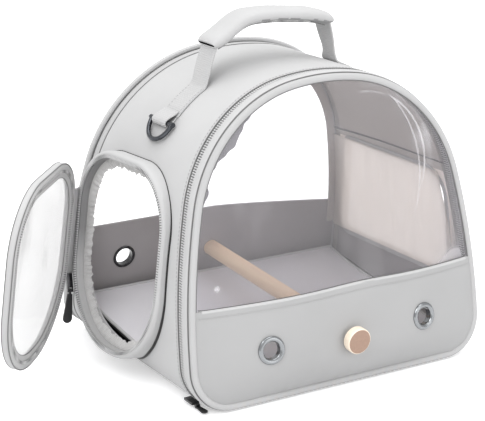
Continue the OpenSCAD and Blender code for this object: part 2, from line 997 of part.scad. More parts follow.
cover();
base_cover();
base_board();
left_board();
right_board();
roof_board();
lining();
body_zip_row();
rear_band();
rear_binding();
rear_panel();
rear_hem();
rear_window();
rear_eyelet();
rear_eyelet_washer();
mesh_window();
mesh_window_trim();
door_collar();
collar_lining();
collar_zip_row();
collar_fringe();
door_hinge_strip();
door_band();
door_panel();
door_zip_row();
door_slider();
door_pull();
perch();
perch_inserts();
front_knob();
front_knob_screw();
rear_knob();
rear_knob_screw();
floor_board();
floor_wedges();
flap_panel();
flap_panel_foot();
flap_hem();
flap_window();
flap_binding();
flap_gusset();
flap_zip_row();
flap_eyelets();
flap_eyelet_washers();
flap_hinge_strip();
front_slider();
front_pull();
handle_webbing_left();
handle_webbing_right();
ring_loop_left();
ring_loop_right();
strap_ring_left();
strap_ring_right();
handle_risers();
handle_grip();
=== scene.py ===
"""A soft-sided travel carrier for a small bird, dressed over its packed frame.

Lengths are in metres, in the frame's own axes: +X right, -Y to the front, +Z up, with the origin
on the table under the middle of the base.
"""
from math import asin, atan2, cos, exp, pi, radians, sin, sqrt, tan

import bmesh
import bpy
from mathutils import Matrix, Vector, noise


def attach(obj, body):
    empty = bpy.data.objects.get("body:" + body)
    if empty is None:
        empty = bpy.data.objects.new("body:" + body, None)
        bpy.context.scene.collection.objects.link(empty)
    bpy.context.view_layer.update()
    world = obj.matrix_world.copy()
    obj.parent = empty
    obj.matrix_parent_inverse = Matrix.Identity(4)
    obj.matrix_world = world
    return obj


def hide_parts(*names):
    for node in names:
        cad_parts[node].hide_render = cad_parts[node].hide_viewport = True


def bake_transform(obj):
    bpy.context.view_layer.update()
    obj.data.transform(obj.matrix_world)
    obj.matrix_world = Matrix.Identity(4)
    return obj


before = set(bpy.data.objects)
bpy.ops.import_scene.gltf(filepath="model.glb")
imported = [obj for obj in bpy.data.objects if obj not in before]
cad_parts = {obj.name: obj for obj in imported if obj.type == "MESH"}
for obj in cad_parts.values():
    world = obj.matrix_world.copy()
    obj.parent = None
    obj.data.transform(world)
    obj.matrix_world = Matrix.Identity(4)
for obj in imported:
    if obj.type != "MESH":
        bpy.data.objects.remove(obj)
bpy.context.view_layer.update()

bl_info = {
    "name": "Soft bird carrier",
    "version": (1, 0, 0),
    "blender": (4, 5, 0),
    "location": "3D View > Sidebar > Carrier",
    "description": "Builds the cloth, clear sheets, zips and fittings of a soft bird carrier",
    "category": "Object",
}

MM = 0.001
HANDLE_Y = -5 * MM                              # the handle's middle, front to rear
EYELET_X, EYELET_Z = 79 * MM, 48 * MM           # the front eyelets
REAR_EYELET_X, REAR_EYELET_Z = -95 * MM, 69 * MM
LINING_FOOT = 62.5 * MM                         # height of the darker lining round the foot
NET_TOP = 163 * MM
WALL_STEP = 4 * MM                              # spacing of places round the body's outline
FLOOR_RISE = radians(6.3)                       # the floor board's slope up to the rear
PERCH_RISE = radians(3.4)
KNOB_MIDDLE = Vector((0, -130, 47)) * MM        # the front knob's middle, on the perch's axis


# ---- Sizes and colours that a user would change ----

def length(name, description, default_mm):
    return bpy.props.FloatProperty(name=name, description=description, default=default_mm * MM,
                                   unit="LENGTH", subtype="DISTANCE", precision=4)


def angle(name, description, default_deg):
    return bpy.props.FloatProperty(name=name, description=description,
                                   default=radians(default_deg), subtype="ANGLE")


def colour(name, description, default):
    return bpy.props.FloatVectorProperty(name=name, description=description, default=default,
                                         size=3, min=0, max=1, subtype="COLOR")


class CarrierSizes(bpy.types.PropertyGroup):
    """Driving sizes of the carrier"""
    body_w: length("Width", "Greatest width of the body", 300)
    body_h: length("Height", "Height of the body at its crown", 268)
    base_d: length("Depth", "Depth of the base", 244)
    plane_z: length("Depth height", "Height at which the depth is measured", 6)
    front_lean: angle("Front lean", "Backward lean of the front", 7.9)
    rear_lean: angle("Rear lean", "Forward lean of the rear", 10.1)
    corner_r: length("Corner radius", "Radius of the rounded lower corners", 38)
    side_r: length("Side radius", "Radius of the curved side walls", 590)
    cloth_t: length("Cloth", "Thickness of the outer cloth", 1.2)
    lining_at: length("Lining", "Depth of the lining inside the outer surface", 4)
    zip_start: length("Gusset end", "Rear edge of the front gusset", 13.2)
    wrap_start: length("Cover start", "Front edge of the cover, behind the front", 19.2)
    band_w: length("Rear band", "Width of the band round the rear edge", 13)
    hem_z: length("Front hem", "Height of the front panel's top edge", 90)
    rear_hem_z: length("Rear hem", "Height of the rear panel's top edge", 100)
    bulge: length("Front bulge", "How far the front panel swells", 16)
    bulge_r: length("Bulge radius", "Radius of the front panel's swell, seen from above", 700)
    door_w: length("Door width", "Width of the side door", 155.8)
    door_h: length("Door height", "Height of the side door", 176)
    door_top_r: length("Door top radius", "Radius of the door's upper corners", 56)
    door_low_r: length("Door low radius", "Radius of the door's lower corners", 73.6)
    collar_w: length("Collar", "Width of the collar's rim", 5.6)
    door_open: angle("Door opening", "How far the door stands open", 45.8)
    webbing_w: length("Webbing", "Width of the handle webbing", 25)
    tooth: length("Zip pitch", "Distance between two zip teeth", 2.2)
    stitch: length("Stitch pitch", "Distance between two stitches", 3.4)


class CarrierColours(bpy.types.PropertyGroup):
    """Colours of the carrier"""
    cloth: colour("Cloth", "Outer cloth", (0.485, 0.485, 0.487))
    # The front panel's colour is darker than the outer cloth's: painted shade of its front face.
    panel: colour("Front panel", "Padded lower front panel", (0.375, 0.375, 0.377))
    trim: colour("Trim", "Bindings and bands", (0.445, 0.445, 0.447))
    seam: colour("Seam", "Sunk seams and threads", (0.17, 0.17, 0.17))
    lining: colour("Lining", "Inner lining", (0.49, 0.455, 0.425))
    rear: colour("Low lining", "Inner face of the rear panel and foot of the walls", (0.335, 0.32, 0.322))
    # The sleeve's dark colour is painted shade inside the collar; sleeve_tones paints light into its lower
    # half.
    sleeve: colour("Collar sleeve", "Cloth inside the side door's collar", (0.24, 0.24, 0.24))
    floor: colour("Floor", "Cloth of the floor board", (0.68, 0.672, 0.70))
    net: colour("Net", "Gathered netting", (0.88, 0.825, 0.765))
    frill: colour("Net frill", "Net frill inside the collar", (0.72, 0.715, 0.71))
    perch: colour("Perch", "Wood of the perch", (1.0, 0.70, 0.49))
    knob: colour("Knobs", "Turned sides of the knobs", (0.88, 0.76, 0.62))
    wood_end: colour("End grain", "Cut ends of the knobs", (0.34, 0.222, 0.165))


def sizes():
    return bpy.context.scene.carrier_sizes


def colours():
    return bpy.context.scene.carrier_colours


# ---- Shader maths ----

class Wire:
    """A node socket, or a number, that can stand in an expression."""

    def __init__(self, paint, socket):
        self.paint = paint
        self.socket = socket

    def maths(self, operation, *others):
        values = {i: v for i, v in enumerate((self, *others))}
        return self.paint.add("ShaderNodeMath", {"operation": operation}, values)

    def __add__(self, other):
        return self.maths("ADD", other)

    def __radd__(self, other):
        return self.maths("ADD", other)

    def __sub__(self, other):
        return self.maths("SUBTRACT", other)

    def __rsub__(self, other):
        return self.paint.add("ShaderNodeMath", {"operation": "SUBTRACT"}, {0: other, 1: self})

    def __mul__(self, other):
        return self.maths("MULTIPLY", other)

    def __rmul__(self, other):
        return self.maths("MULTIPLY", other)

    def __truediv__(self, other):
        return self.maths("DIVIDE", other)

    def __pow__(self, other):
        return self.maths("POWER", other)

    def sine(self):
        return self.maths("SINE")

    def size(self):
        return self.maths("ABSOLUTE")

    def above(self, level, softness):
        """0 below the level and 1 above it, over a band of that softness"""
        values = {"Value": self, "From Min": level - softness / 2, "From Max": level + softness / 2}
        return self.paint.add("ShaderNodeMapRange", {"clamp": True}, values)

    def most(self, other):
        return self.maths("MAXIMUM", other)


class Paint:
    """A material, or a world, under construction."""

    def __init__(self, name, world=None):
        self.owner = world or bpy.data.materials.new(name)
        self.owner.use_nodes = True
        self.tree = self.owner.node_tree
        self.tree.nodes.clear()
        self.end = self.tree.nodes.new("ShaderNodeOutputWorld" if world else "ShaderNodeOutputMaterial")

    def add(self, kind, settings=None, values=None, output=0):
        """Adds a node. Its settings go in first, then its sockets' values or links."""
        node = self.tree.nodes.new(kind)
        for key, value in (settings or {}).items():
            if key == "stops":
                self.set_stops(node.color_ramp, value)
            else:
                setattr(node, key, value)
        for key, value in (values or {}).items():
            if isinstance(value, Wire):
                self.tree.links.new(value.socket, node.inputs[key])
            else:
                node.inputs[key].default_value = value
        return Wire(self, node.outputs[output])

    def set_stops(self, ramp, stops):
        while len(ramp.elements) < len(stops):
            ramp.elements.new(0.5)
        for element, (place, tone) in zip(ramp.elements, stops):
            element.position = place
            element.color = (*tone, 1)

    def place(self):
        return self.add("ShaderNodeTexCoord", output="Object")

    def ray(self, kind):
        """1 where the light path is of that kind, and 0 elsewhere"""
        return self.add("ShaderNodeLightPath", output=kind)

    def axes(self):
        """Where the surface lies in the piece, in metres: x, y and z."""
        parts = self.tree.nodes.new("ShaderNodeSeparateXYZ")
        self.tree.links.new(self.place().socket, parts.inputs[0])
        return [Wire(self, end) for end in parts.outputs]

    def flat(self):
        """Where the surface lies on its flat cut, in metres: along it and across it."""
        spot = self.add("ShaderNodeUVMap", {"uv_map": "cut"})
        parts = self.tree.nodes.new("ShaderNodeSeparateXYZ")
        self.tree.links.new(spot.socket, parts.inputs[0])
        return Wire(self, parts.outputs[0]), Wire(self, parts.outputs[1])

    def cloud(self, scale, detail=3, at=None, stretch=None):
        """Soft noise from 0 to 1, with blobs about 1 / scale metres across"""
        spot = at or self.place()
        if stretch:
            spot = self.add("ShaderNodeVectorMath", {"operation": "MULTIPLY"},
                            {0: spot, 1: stretch})
        return self.add("ShaderNodeTexNoise", {"noise_dimensions": "3D"},
                        {"Vector": spot, "Scale": scale, "Detail": detail})

    def mix(self, factor, a, b):
        """Colour a where the factor is 0, and b where it is 1"""
        node = self.tree.nodes.new("ShaderNodeMix")
        node.data_type = "RGBA"
        for key, value in ((0, factor), (6, a), (7, b)):
            if isinstance(value, Wire):
                self.tree.links.new(value.socket, node.inputs[key])
            elif key == 0:
                node.inputs[0].default_value = value
            else:
                node.inputs[key].default_value = (*value, 1)
        return Wire(self, node.outputs[2])

    def bump(self, height, distance, strength=1.0):
        values = {"Height": height, "Distance": distance, "Strength": strength}
        return self.add("ShaderNodeBump", None, values)

    def principled(self, base, rough, normal=None, **more):
        values = {"Base Color": base if isinstance(base, Wire) else (*base, 1), "Roughness": rough}
        if normal:
            values["Normal"] = normal
        values.update({key.replace("_", " "): value for key, value in more.items()})
        return self.add("ShaderNodeBsdfPrincipled", None, values)

    def done(self, shader):
        self.tree.links.new(shader.socket, self.end.inputs["Surface"])
        return self.owner


def shade(tone, share):
    """The tone, darker or lighter by that share"""
    return tuple(min(1, channel * share) for channel in tone)


MADE = {}


def material(name):
    """The material of that name, made the first time it is asked for"""
    if name not in MADE:
        MADE[name] = RECIPES[name](name)
    return MADE[name]


def coated_cloth(name, tone, thread=0.6 * MM, dirt=0.04, retone=None):
    """Fine plain-woven cloth with a dull coating"""
    paint = Paint(name)
    along, across = paint.flat()
    turn = 2 * pi / thread
    weave = (along * turn).sine() * (across * turn).sine()
    grain = paint.cloud(900, 2)
    patches = paint.cloud(14, 3)
    base = paint.mix((patches - 0.5) * 2.2 + 0.5, shade(tone, 1 - dirt), shade(tone, 1 + dirt))
    if retone:
        base = retone(paint, base)
    rough = paint.cloud(60) * 0.12 + 0.66
    normal = paint.bump(weave * 0.5 + grain, 0.06 * MM, 0.5)
    return paint.done(paint.principled(base, rough, normal, Sheen_Weight=0.12,
                                       Specular_IOR_Level=0.28))


def cabin_painted_light_and_shade(paint, base):
    """Pale lining above, the darker one round its foot, and black below the floor board"""
    x, y, z = paint.axes()
    foot, net = colours().rear, colours().net
    to_rear = y + z * tan(sizes().rear_lean)
    by_net = (x.above(100 * MM, 1 * MM) * z.above(64 * MM, 1 * MM) * (1 - z.above(NET_TOP, 1 * MM))
              * (1 - to_rear.above(rear_y(0) - 7 * MM, 2 * MM)))
    behind = by_net * y.above(-88 * MM, 8 * MM)
    base = paint.mix(by_net, base, shade(colours().lining, 0.72))
    # painted light: behind the net the lining takes the net's pale tone, as if lit through it
    base = paint.mix(behind, base, shade(net, 1.12))
    base = paint.mix(z.above(LINING_FOOT, 1 * MM), shade(foot, 0.9), base)
    # painted shadow: below the floor board's plane the lining is painted black
    under = z - y * tan(FLOOR_RISE)
    return paint.mix(under.above(floor_top(0) - 1 * MM, 1 * MM), (0.012, 0.012, 0.012), base)


def sleeve_tones(paint, base):
    """The collar's sleeve is paler in its lower half, where the door lets light in"""
    z = paint.axes()[2]
    return paint.mix(z.above(98 * MM, 30 * MM), shade(colours().sleeve, 1.7), base)


def webbing_cloth(name):
    """Ribbed webbing: cords along it, crossed by a zigzag of weft"""
    paint = Paint(name)
    along, across = paint.flat()
    rib = ((along * (2 * pi / (1.9 * MM))) + (across * (2 * pi / (4.2 * MM))).sine() * 0.9).sine()
    cord = (across * (2 * pi / (1.1 * MM))).sine()
    tone = colours().cloth
    shadow = (rib * 0.5 + 0.5) * 0.5 + (cord * 0.5 + 0.5) * 0.5
    base = paint.mix(shadow, shade(tone, 0.9), shade(tone, 1.05))
    normal = paint.bump(rib + cord * 0.6, 0.16 * MM, 0.6)
    return paint.done(paint.principled(base, 0.74, normal, Sheen_Weight=0.2))


def net_cloth(name, tone, cover):
    """Fine netting: threads both ways, with open holes between"""
    pitch, thread = 1.25 * MM, 0.42
    paint = Paint(name)
    along, across = paint.flat()
    turn = pi / pitch
    threads = (along * turn).sine().size().most((across * turn).sine().size())
    solid = threads.above(1 - thread * 0.5, 0.12)
    folds = paint.cloud(90, 2, stretch=(1, 3, 0.25))
    base = paint.mix(folds, shade(tone, 0.9), shade(tone, 1.08))
    normal = paint.bump(threads, 0.1 * MM, 0.4)
    cloth = paint.principled(base, 0.8, normal, Sheen_Weight=0.2)
    lit = paint.add("ShaderNodeBsdfTranslucent", None, {"Color": (*tone, 1)})
    both = paint.add("ShaderNodeMixShader", None, {0: 0.35, 1: cloth, 2: lit})
    gaps = paint.add("ShaderNodeBsdfTransparent")
    cover = (solid * 0.25 + cover).maths("MINIMUM", 1.0)
    return paint.done(paint.add("ShaderNodeMixShader", None, {0: cover, 1: gaps, 2: both}))


def clear_sheet(name, haze, shine, tint, glare_streaks=0.0, glints=()):
    """Clear soft plastic, with a soft haze where it has been creased, and fixed ring-shaped glints"""
    paint = Paint(name)
    ripple = paint.cloud(9, 2)
    fine = paint.cloud(50, 2)
    normal = paint.bump(ripple + fine * 0.08, 3.0 * MM, 0.5)
    # painted glare: streaky patches of white haze
    glare_patches = paint.cloud(22, 2, stretch=(1, 1, 0.35)).above(0.66, 0.14)
    film = paint.principled(shade(tint, 0.78), 0.07, normal, IOR=1.45, Specular_IOR_Level=0.5)
    open_air = paint.add("ShaderNodeBsdfTransparent", None, {"Color": (*tint, 1)})
    rim = paint.add("ShaderNodeFresnel", None, {"IOR": 1.4})
    cover = rim * shine + haze + glare_patches * glare_streaks
    if glints:
        x, _, z = paint.axes()
        breaks = paint.cloud(35, 2).above(0.42, 0.25)
    for centre, r, w, amount in glints:
        right, up = x - centre[0] * MM, z - centre[1] * MM
        away = (right.maths("POWER", 2.0) + up.maths("POWER", 2.0)) ** 0.5
        ring = ((away - r * MM).size() * (-1 / (w * MM)) + 1).most(0.0)
        part = breaks * (right * 1.5 + up).above(r * 1.1 * MM, r * 0.4 * MM) if r else 1.0
        cover = cover + ring * amount * part
    sheet = paint.add("ShaderNodeMixShader", None, {0: cover, 1: open_air, 2: film})
    return paint.done(sheet)


def metal(name, tone, rough, worn=0.05):
    """Plated metal with faint rubbing marks"""
    paint = Paint(name)
    rub = paint.cloud(260, 4)
    base = paint.mix(rub, shade(tone, 1 - worn * 2), tone)
    return paint.done(paint.principled(base, rub * 0.14 + rough, Metallic=1.0))


def dark_metal(name):
    """Black lacquered metal"""
    paint = Paint(name)
    rub = paint.cloud(300, 4)
    base = paint.mix(rub.above(0.62, 0.2), (0.012, 0.012, 0.014), (0.06, 0.06, 0.065))
    return paint.done(paint.principled(base, rub * 0.2 + 0.2, Metallic=0.4, Coat_Weight=0.4))


def rubber(name):
    """Moulded black rubber"""
    paint = Paint(name)
    grain = paint.cloud(1200, 2)
    base = paint.mix(grain, (0.008, 0.008, 0.009), (0.02, 0.02, 0.021))
    return paint.done(paint.principled(base, 0.48, paint.bump(grain, 0.05 * MM, 0.4)))


def pale_wood(name, tone, end_grain=False):
    """Sanded beech: long grain with fine flecks, or rings on a cut end"""
    paint = Paint(name)
    if end_grain:
        rings = paint.cloud(420, 3, stretch=(1, 0.2, 1))
        flecks = paint.cloud(1500, 2)
    else:
        rings = paint.cloud(190, 4, stretch=(1, 0.05, 1))
        flecks = paint.cloud(1400, 2, stretch=(1, 0.12, 1))
    base = paint.mix(rings, shade(tone, 0.82), shade(tone, 1.15))
    base = paint.mix(flecks.above(0.68, 0.08) * 0.5, base, shade(tone, 0.6))
    normal = paint.bump(flecks, 0.05 * MM, 0.3)
    return paint.done(paint.principled(base, rings * 0.15 + 0.45, normal))


def zip_plastic(name):
    """Nylon zip teeth"""
    paint = Paint(name)
    along = paint.flat()[0]
    tone = colours().trim
    # painted shade: the material is dark between the teeth and lighter on them
    gaps = (along * (2 * pi / sizes().tooth)).sine().above(0.2, 0.6)
    base = paint.mix(gaps, shade(tone, 1.2), shade(tone, 0.32))
    return paint.done(paint.principled(base, 0.42, Specular_IOR_Level=0.4))


def fibre_board(name):
    """Grey stiffening board"""
    paint = Paint(name)
    fibres = paint.cloud(320, 4)
    base = paint.mix(fibres, (0.34, 0.33, 0.31), (0.44, 0.42, 0.4))
    return paint.done(paint.principled(base, 0.8, paint.bump(fibres, 0.1 * MM, 0.3)))


# Rings of glare on the front sheet: centre (x, z), radius and width in mm, and strength
GLINTS = [((37, 186), 62, 1.5, 0.4), ((1, 177), 92, 1.3, 0.28), ((37, 186), 68, 4.5, 0.12),
          ((97, 200), 0, 14, 0.16), ((-120, 105), 0, 3.6, 0.45)]

RECIPES = {
    "cloth": lambda n: coated_cloth(n, colours().cloth),
    "panel": lambda n: coated_cloth(n, colours().panel, dirt=0.03),
    "trim": lambda n: coated_cloth(n, colours().trim, 0.5 * MM),
    "seam": lambda n: coated_cloth(n, colours().seam, 0.5 * MM),
    "lining": lambda n: coated_cloth(n, colours().lining, 0.7 * MM, 0.05, cabin_painted_light_and_shade),
    "rear": lambda n: coated_cloth(n, colours().rear, 0.7 * MM, 0.08),
    "sleeve": lambda n: coated_cloth(n, colours().sleeve, 0.6 * MM, 0.04, sleeve_tones),
    "shadow": lambda n: coated_cloth(n, (0.02, 0.02, 0.02), 0.6 * MM),
    "facing": lambda n: coated_cloth(n, shade(colours().trim, 0.62), 0.6 * MM),
    "floor": lambda n: coated_cloth(n, colours().floor, 0.6 * MM),
    "thread": lambda n: coated_cloth(n, shade(colours().cloth, 0.75), 0.4 * MM),
    "webbing": webbing_cloth,
    "net": lambda n: net_cloth(n, colours().net, 0.56),
    "frill": lambda n: net_cloth(n, colours().frill, 0.72),
    # The fifth number of a clear sheet is the strength of its painted glare streaks; GLINTS are painted
    # glints.
    "clear": lambda n: clear_sheet(n, 0.05, 0.5, (0.97, 0.962, 0.98), 0.05, GLINTS),
    "clear_rear": lambda n: clear_sheet(n, 0.01, 0.4, (0.99, 0.99, 0.99)),
    "clear_door": lambda n: clear_sheet(n, 0.07, 0.45, (0.945, 0.945, 0.945), 0.2),
    "chrome": lambda n: metal(n, (0.27, 0.28, 0.29), 0.16),
    "gunmetal": lambda n: metal(n, (0.09, 0.095, 0.105), 0.22),
    "brass": lambda n: metal(n, (0.75, 0.58, 0.28), 0.25),
    "black_metal": dark_metal,
    "rubber": rubber,
    "perch": lambda n: pale_wood(n, colours().perch),
    "knob": lambda n: pale_wood(n, colours().knob),
    "wood_end": lambda n: pale_wood(n, colours().wood_end, True),
    "zip": zip_plastic,
    "board": fibre_board,
}


# ---- The body's outline and its leaning ends ----

class Spot:
    """A place on an outline: its two coordinates, its outward normal and how far along it is."""

    def __init__(self, a, b, na, nb, along=0.0):
        self.a, self.b, self.na, self.nb, self.along = a, b, na, nb, along


def spaced(spots):
    """Adds to each spot how far along the outline it is."""
    total = 0.0
    for i, spot in enumerate(spots):
        if i:
            total += sqrt((spot.a - spots[i - 1].a) ** 2 + (spot.b - spots[i - 1].b) ** 2)
        spot.along = total
    return spots


def arc_spots(centre, r, start, stop, step):
    """Spots after the start of an arc, to its end"""
    count = max(2, round(abs(stop - start) * r / step))
    found = []
    for i in range(1, count + 1):
        a = start + (stop - start) * i / count
        found.append(Spot(centre[0] + r * cos(a), centre[1] + r * sin(a), cos(a), sin(a)))
    return found


def line_spots(start, stop, normal, step):
    """Spots after the start of a line, to its end"""
    span = sqrt((stop[0] - start[0]) ** 2 + (stop[1] - start[1]) ** 2)
    count = max(1, round(span / step))
    found = []
    for i in range(1, count + 1):
        t = i / count
        found.append(Spot(start[0] + (stop[0] - start[0]) * t, start[1] + (stop[1] - start[1]) * t,
                          *normal))
    return found


class Outline:
    """The body seen from the front: lower corner, side, shoulder and crown arcs."""

    def __init__(self):
        s = sizes()
        half = s.body_w / 2
        side_a, shoulder_a = radians(13), radians(81)
        side_end = Vector((half - s.side_r * (1 - cos(side_a)), s.corner_r + s.side_r * sin(side_a)))
        k = (1 - sin(shoulder_a)) / cos(shoulder_a)
        self.shoulder_r = ((s.body_h - side_end.y - side_end.x * k)
                           / (sin(shoulder_a) - sin(side_a) - k * (cos(side_a) - cos(shoulder_a))))
        self.shoulder_c = side_end - self.shoulder_r * Vector((cos(side_a), sin(side_a)))
        crown_r = (self.shoulder_c.x + self.shoulder_r * cos(shoulder_a)) / cos(shoulder_a)
        self.flat = half - s.corner_r
        self.arcs = [
            (Vector((self.flat, s.corner_r)), s.corner_r, -pi / 2, 0),
            (Vector((half - s.side_r, s.corner_r)), s.side_r, 0, side_a),
            (self.shoulder_c, self.shoulder_r, side_a, shoulder_a),
            (Vector((0, s.body_h - crown_r)), crown_r, shoulder_a, pi / 2),
        ]

    def spots(self, step, from_x=0.0):
        """Spots all round, from the middle of the base to the right, up and over."""
        right = line_spots((from_x, 0), (self.flat, 0), (0, -1), step)
        for c, r, start, stop in self.arcs:
            right += arc_spots(c, r, start, stop, step)
        left = [Spot(-p.a, p.b, -p.na, p.nb) for p in reversed(right[:-1])]
        if from_x:
            return spaced([Spot(from_x, 0, 0, -1), *right, *left, Spot(-from_x, 0, 0, -1)])
        return spaced([*right, *left, Spot(0, 0, 0, -1)])

    def half_width(self, z, inset=0.0):
        """Half the width at the height z, and the outward normal there."""
        for c, r, start, stop in self.arcs:
            r -= inset
            if abs(z - c.y) > r:
                continue
            x = c.x + sqrt(r * r - (z - c.y) ** 2)
            a = atan2(z - c.y, x - c.x)
            if start - 1e-9 <= a <= stop + 1e-9:
                return x, cos(a), sin(a)
        return (self.flat, 0, -1) if z < 0.1 else (0.0, 0, 1)

    def inside(self, x, z):
        """How far a place is inside the outline, near the walls and roof."""
        best = z
        for c, r, start, stop in self.arcs:
            d = Vector((abs(x), z)) - c
            if start <= atan2(d.y, d.x) <= stop:
                best = min(best, r - d.length) if start > -1 else r - d.length
        return best

    def shoulder(self, a, out):
        return self.shoulder_c + (self.shoulder_r + out) * Vector((cos(a), sin(a)))


def front_y(z):
    """Depth of the leaning front at the height z"""
    s = sizes()
    return -s.base_d / 2 + tan(s.front_lean) * (z - s.plane_z)


def rear_y(z):
    """Depth of the leaning rear at the height z"""
    s = sizes()
    return s.base_d / 2 - tan(s.rear_lean) * (z - s.plane_z)


def behind_front(spot, back, out):
    """A place beside the outline, that far behind the front and outside the walls"""
    z = max(0.0, spot.b + spot.nb * out)
    return Vector((spot.a + spot.na * out, front_y(z) + back, z))


def before_rear(spot, ahead, out):
    """A place beside the outline, that far ahead of the rear and outside the walls"""
    z = max(0.0, spot.b + spot.nb * out)
    return Vector((spot.a + spot.na * out, rear_y(z) - ahead, z))


# ---- Making meshes ----

def lengths(points):
    """How far along each point of a line is."""
    total, found = 0.0, [0.0]
    for a, b in zip(points, points[1:]):
        total += (b - a).length
        found.append(total)
    return found


def skin(name, rows, loop_rows=False, loop_cols=False, caps=False):
    """A mesh over rows of points, with its flat cut kept as UVs in metres."""
    n_rows, n_cols = len(rows), len(rows[0])
    verts = [tuple(p) for row in rows for p in row]
    faces = []
    for i in range(n_rows if loop_rows else n_rows - 1):
        for j in range(n_cols if loop_cols else n_cols - 1):
            k, m = (i + 1) % n_rows, (j + 1) % n_cols
            faces.append((i * n_cols + j, k * n_cols + j, k * n_cols + m, i * n_cols + m))
    if caps:
        faces.append(tuple(range(n_cols)))
        faces.append(tuple((n_rows - 1) * n_cols + j for j in reversed(range(n_cols))))
    mesh = bpy.data.meshes.new(name)
    mesh.from_pydata(verts, [], faces)
    along = lengths([row[0] for row in rows] + ([rows[0][0]] if loop_rows else []))
    across = [lengths(row + ([row[0]] if loop_cols else [])) for row in rows]
    layer = mesh.uv_layers.new(name="cut")
    for poly in mesh.polygons[:len(faces) - (2 if caps else 0)]:
        i, j = divmod(poly.vertices[0], n_cols)
        k = (i + 1) % n_rows
        spots = ((along[i], across[i][j]), (along[i + 1], across[k][j]),
                 (along[i + 1], across[k][j + 1]), (along[i], across[i][j + 1]))
        for corner, spot in zip(poly.loop_indices, spots):
            layer.data[corner].uv = spot
    return new_object(name, mesh)


def add_object(name, data):
    ob = bpy.data.objects.new(name, data)
    bpy.context.scene.collection.objects.link(ob)
    return ob


def new_object(name, mesh):
    ob = add_object(name, mesh)
    tidy_normals(mesh)
    return ob


def tidy_normals(mesh, crease=40):
    """Faces point outwards, and only edges sharper than the crease show."""
    bm = bmesh.new()
    bm.from_mesh(mesh)
    bmesh.ops.recalc_face_normals(bm, faces=bm.faces)
    bm.to_mesh(mesh)
    bm.free()
    mesh.shade_smooth()
    mesh.set_sharp_from_angle(angle=radians(crease))


def apply_modifiers(ob):
    """Replaces a piece's mesh by what its modifiers make of it."""
    bpy.context.view_layer.update()
    made = ob.evaluated_get(bpy.context.evaluated_depsgraph_get())
    mesh = bpy.data.meshes.new_from_object(made)
    ob.modifiers.clear()
    ob.data = mesh


def thicken(ob, t, offset=-1):
    """Gives a sheet its thickness: -1 inwards, 0 to both sides."""
    solid = ob.modifiers.new("thickness", "SOLIDIFY")
    solid.thickness = t
    solid.offset = offset
    solid.use_even_offset = True
    apply_modifiers(ob)
    tidy_normals(ob.data)


def cut(ob, cutter):
    """Takes the cutter's space out of a piece."""
    knife = ob.modifiers.new("hole", "BOOLEAN")
    knife.operation = "DIFFERENCE"
    knife.solver = "EXACT"
    knife.object = cutter
    apply_modifiers(ob)


def bore(ob, at, axis, r):
    """Cuts a round hole through a piece."""
    reach = 12 * MM
    side = axis.orthogonal().normalized()
    up = axis.cross(side)
    rows = [[at + axis * d + (side * cos(a) + up * sin(a)) * r for a in turns(48)] for d in (-reach, reach)]
    cutter = skin("bore_cutter", rows, loop_cols=True, caps=True)
    cut(ob, cutter)
    bpy.data.objects.remove(cutter)
    tidy_normals(ob.data)


def along_perch(s):
    """A place on the perch's axis and its direction, s behind the front knob's middle."""
    axis = Vector((0, cos(PERCH_RISE), sin(PERCH_RISE)))
    return KNOB_MIDDLE + axis * s, axis


def mm(*rows):
    """Tuples of millimetres, in metres"""
    return [tuple(value * MM for value in row) for row in rows]


def turns(count):
    """Angles evenly round a circle"""
    return [2 * pi * i / count for i in range(count)]


def dress(ob, body, look, slot, *nodes):
    """Gives a finished piece its material, its body, its slot and the nodes it stands for."""
    ob.data.materials.clear()
    ob.data.materials.append(material(look))
    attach(ob, body)
    if nodes:
        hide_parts(*nodes)
    return ob


def ring_section(back, out, r, count=6):
    """A round section for a hoop"""
    return [(back + r * cos(a), out + r * sin(a)) for a in turns(count)]


def hoop(name, section, rear=False, spots=None):
    """Runs a closed section of (back, out) points round the body's outline."""
    spots = spots or OUTLINE.spots(WALL_STEP)
    place = before_rear if rear else behind_front
    rows = []
    for spot in spots:
        shape = section(spot) if callable(section) else section
        rows.append([place(spot, back, out) for back, out in shape])
    open_ends = abs(spots[0].a - spots[-1].a) > 20 * MM
    return skin(name, rows, loop_rows=not open_ends, loop_cols=True, caps=open_ends)


def tube(name, rows, body, look, slot, *nodes, loop=True):
    """A closed section along rows, joined end to end or with capped ends, as a finished piece."""
    ob = skin(name, rows, loop_rows=loop, loop_cols=True, caps=not loop)
    return dress(ob, body, look, slot, *nodes)


def bead(name, points, up, r, body, look, slot, count=6, loop=True):
    """Lays a fine cord along points. Its radius may be given for each point."""
    r_at = r if isinstance(r, list) else [r] * len(points)
    rows = []
    for i, (p, r) in enumerate(zip(points, r_at)):
        ahead = (points[(i + 1) % len(points)] - points[i - 1]).normalized()
        side = ahead.cross(up).normalized()
        rows.append([p + side * (r * cos(a)) + up * (r * sin(a)) for a in turns(count)])
    return tube(name, rows, body, look, slot, loop=loop)


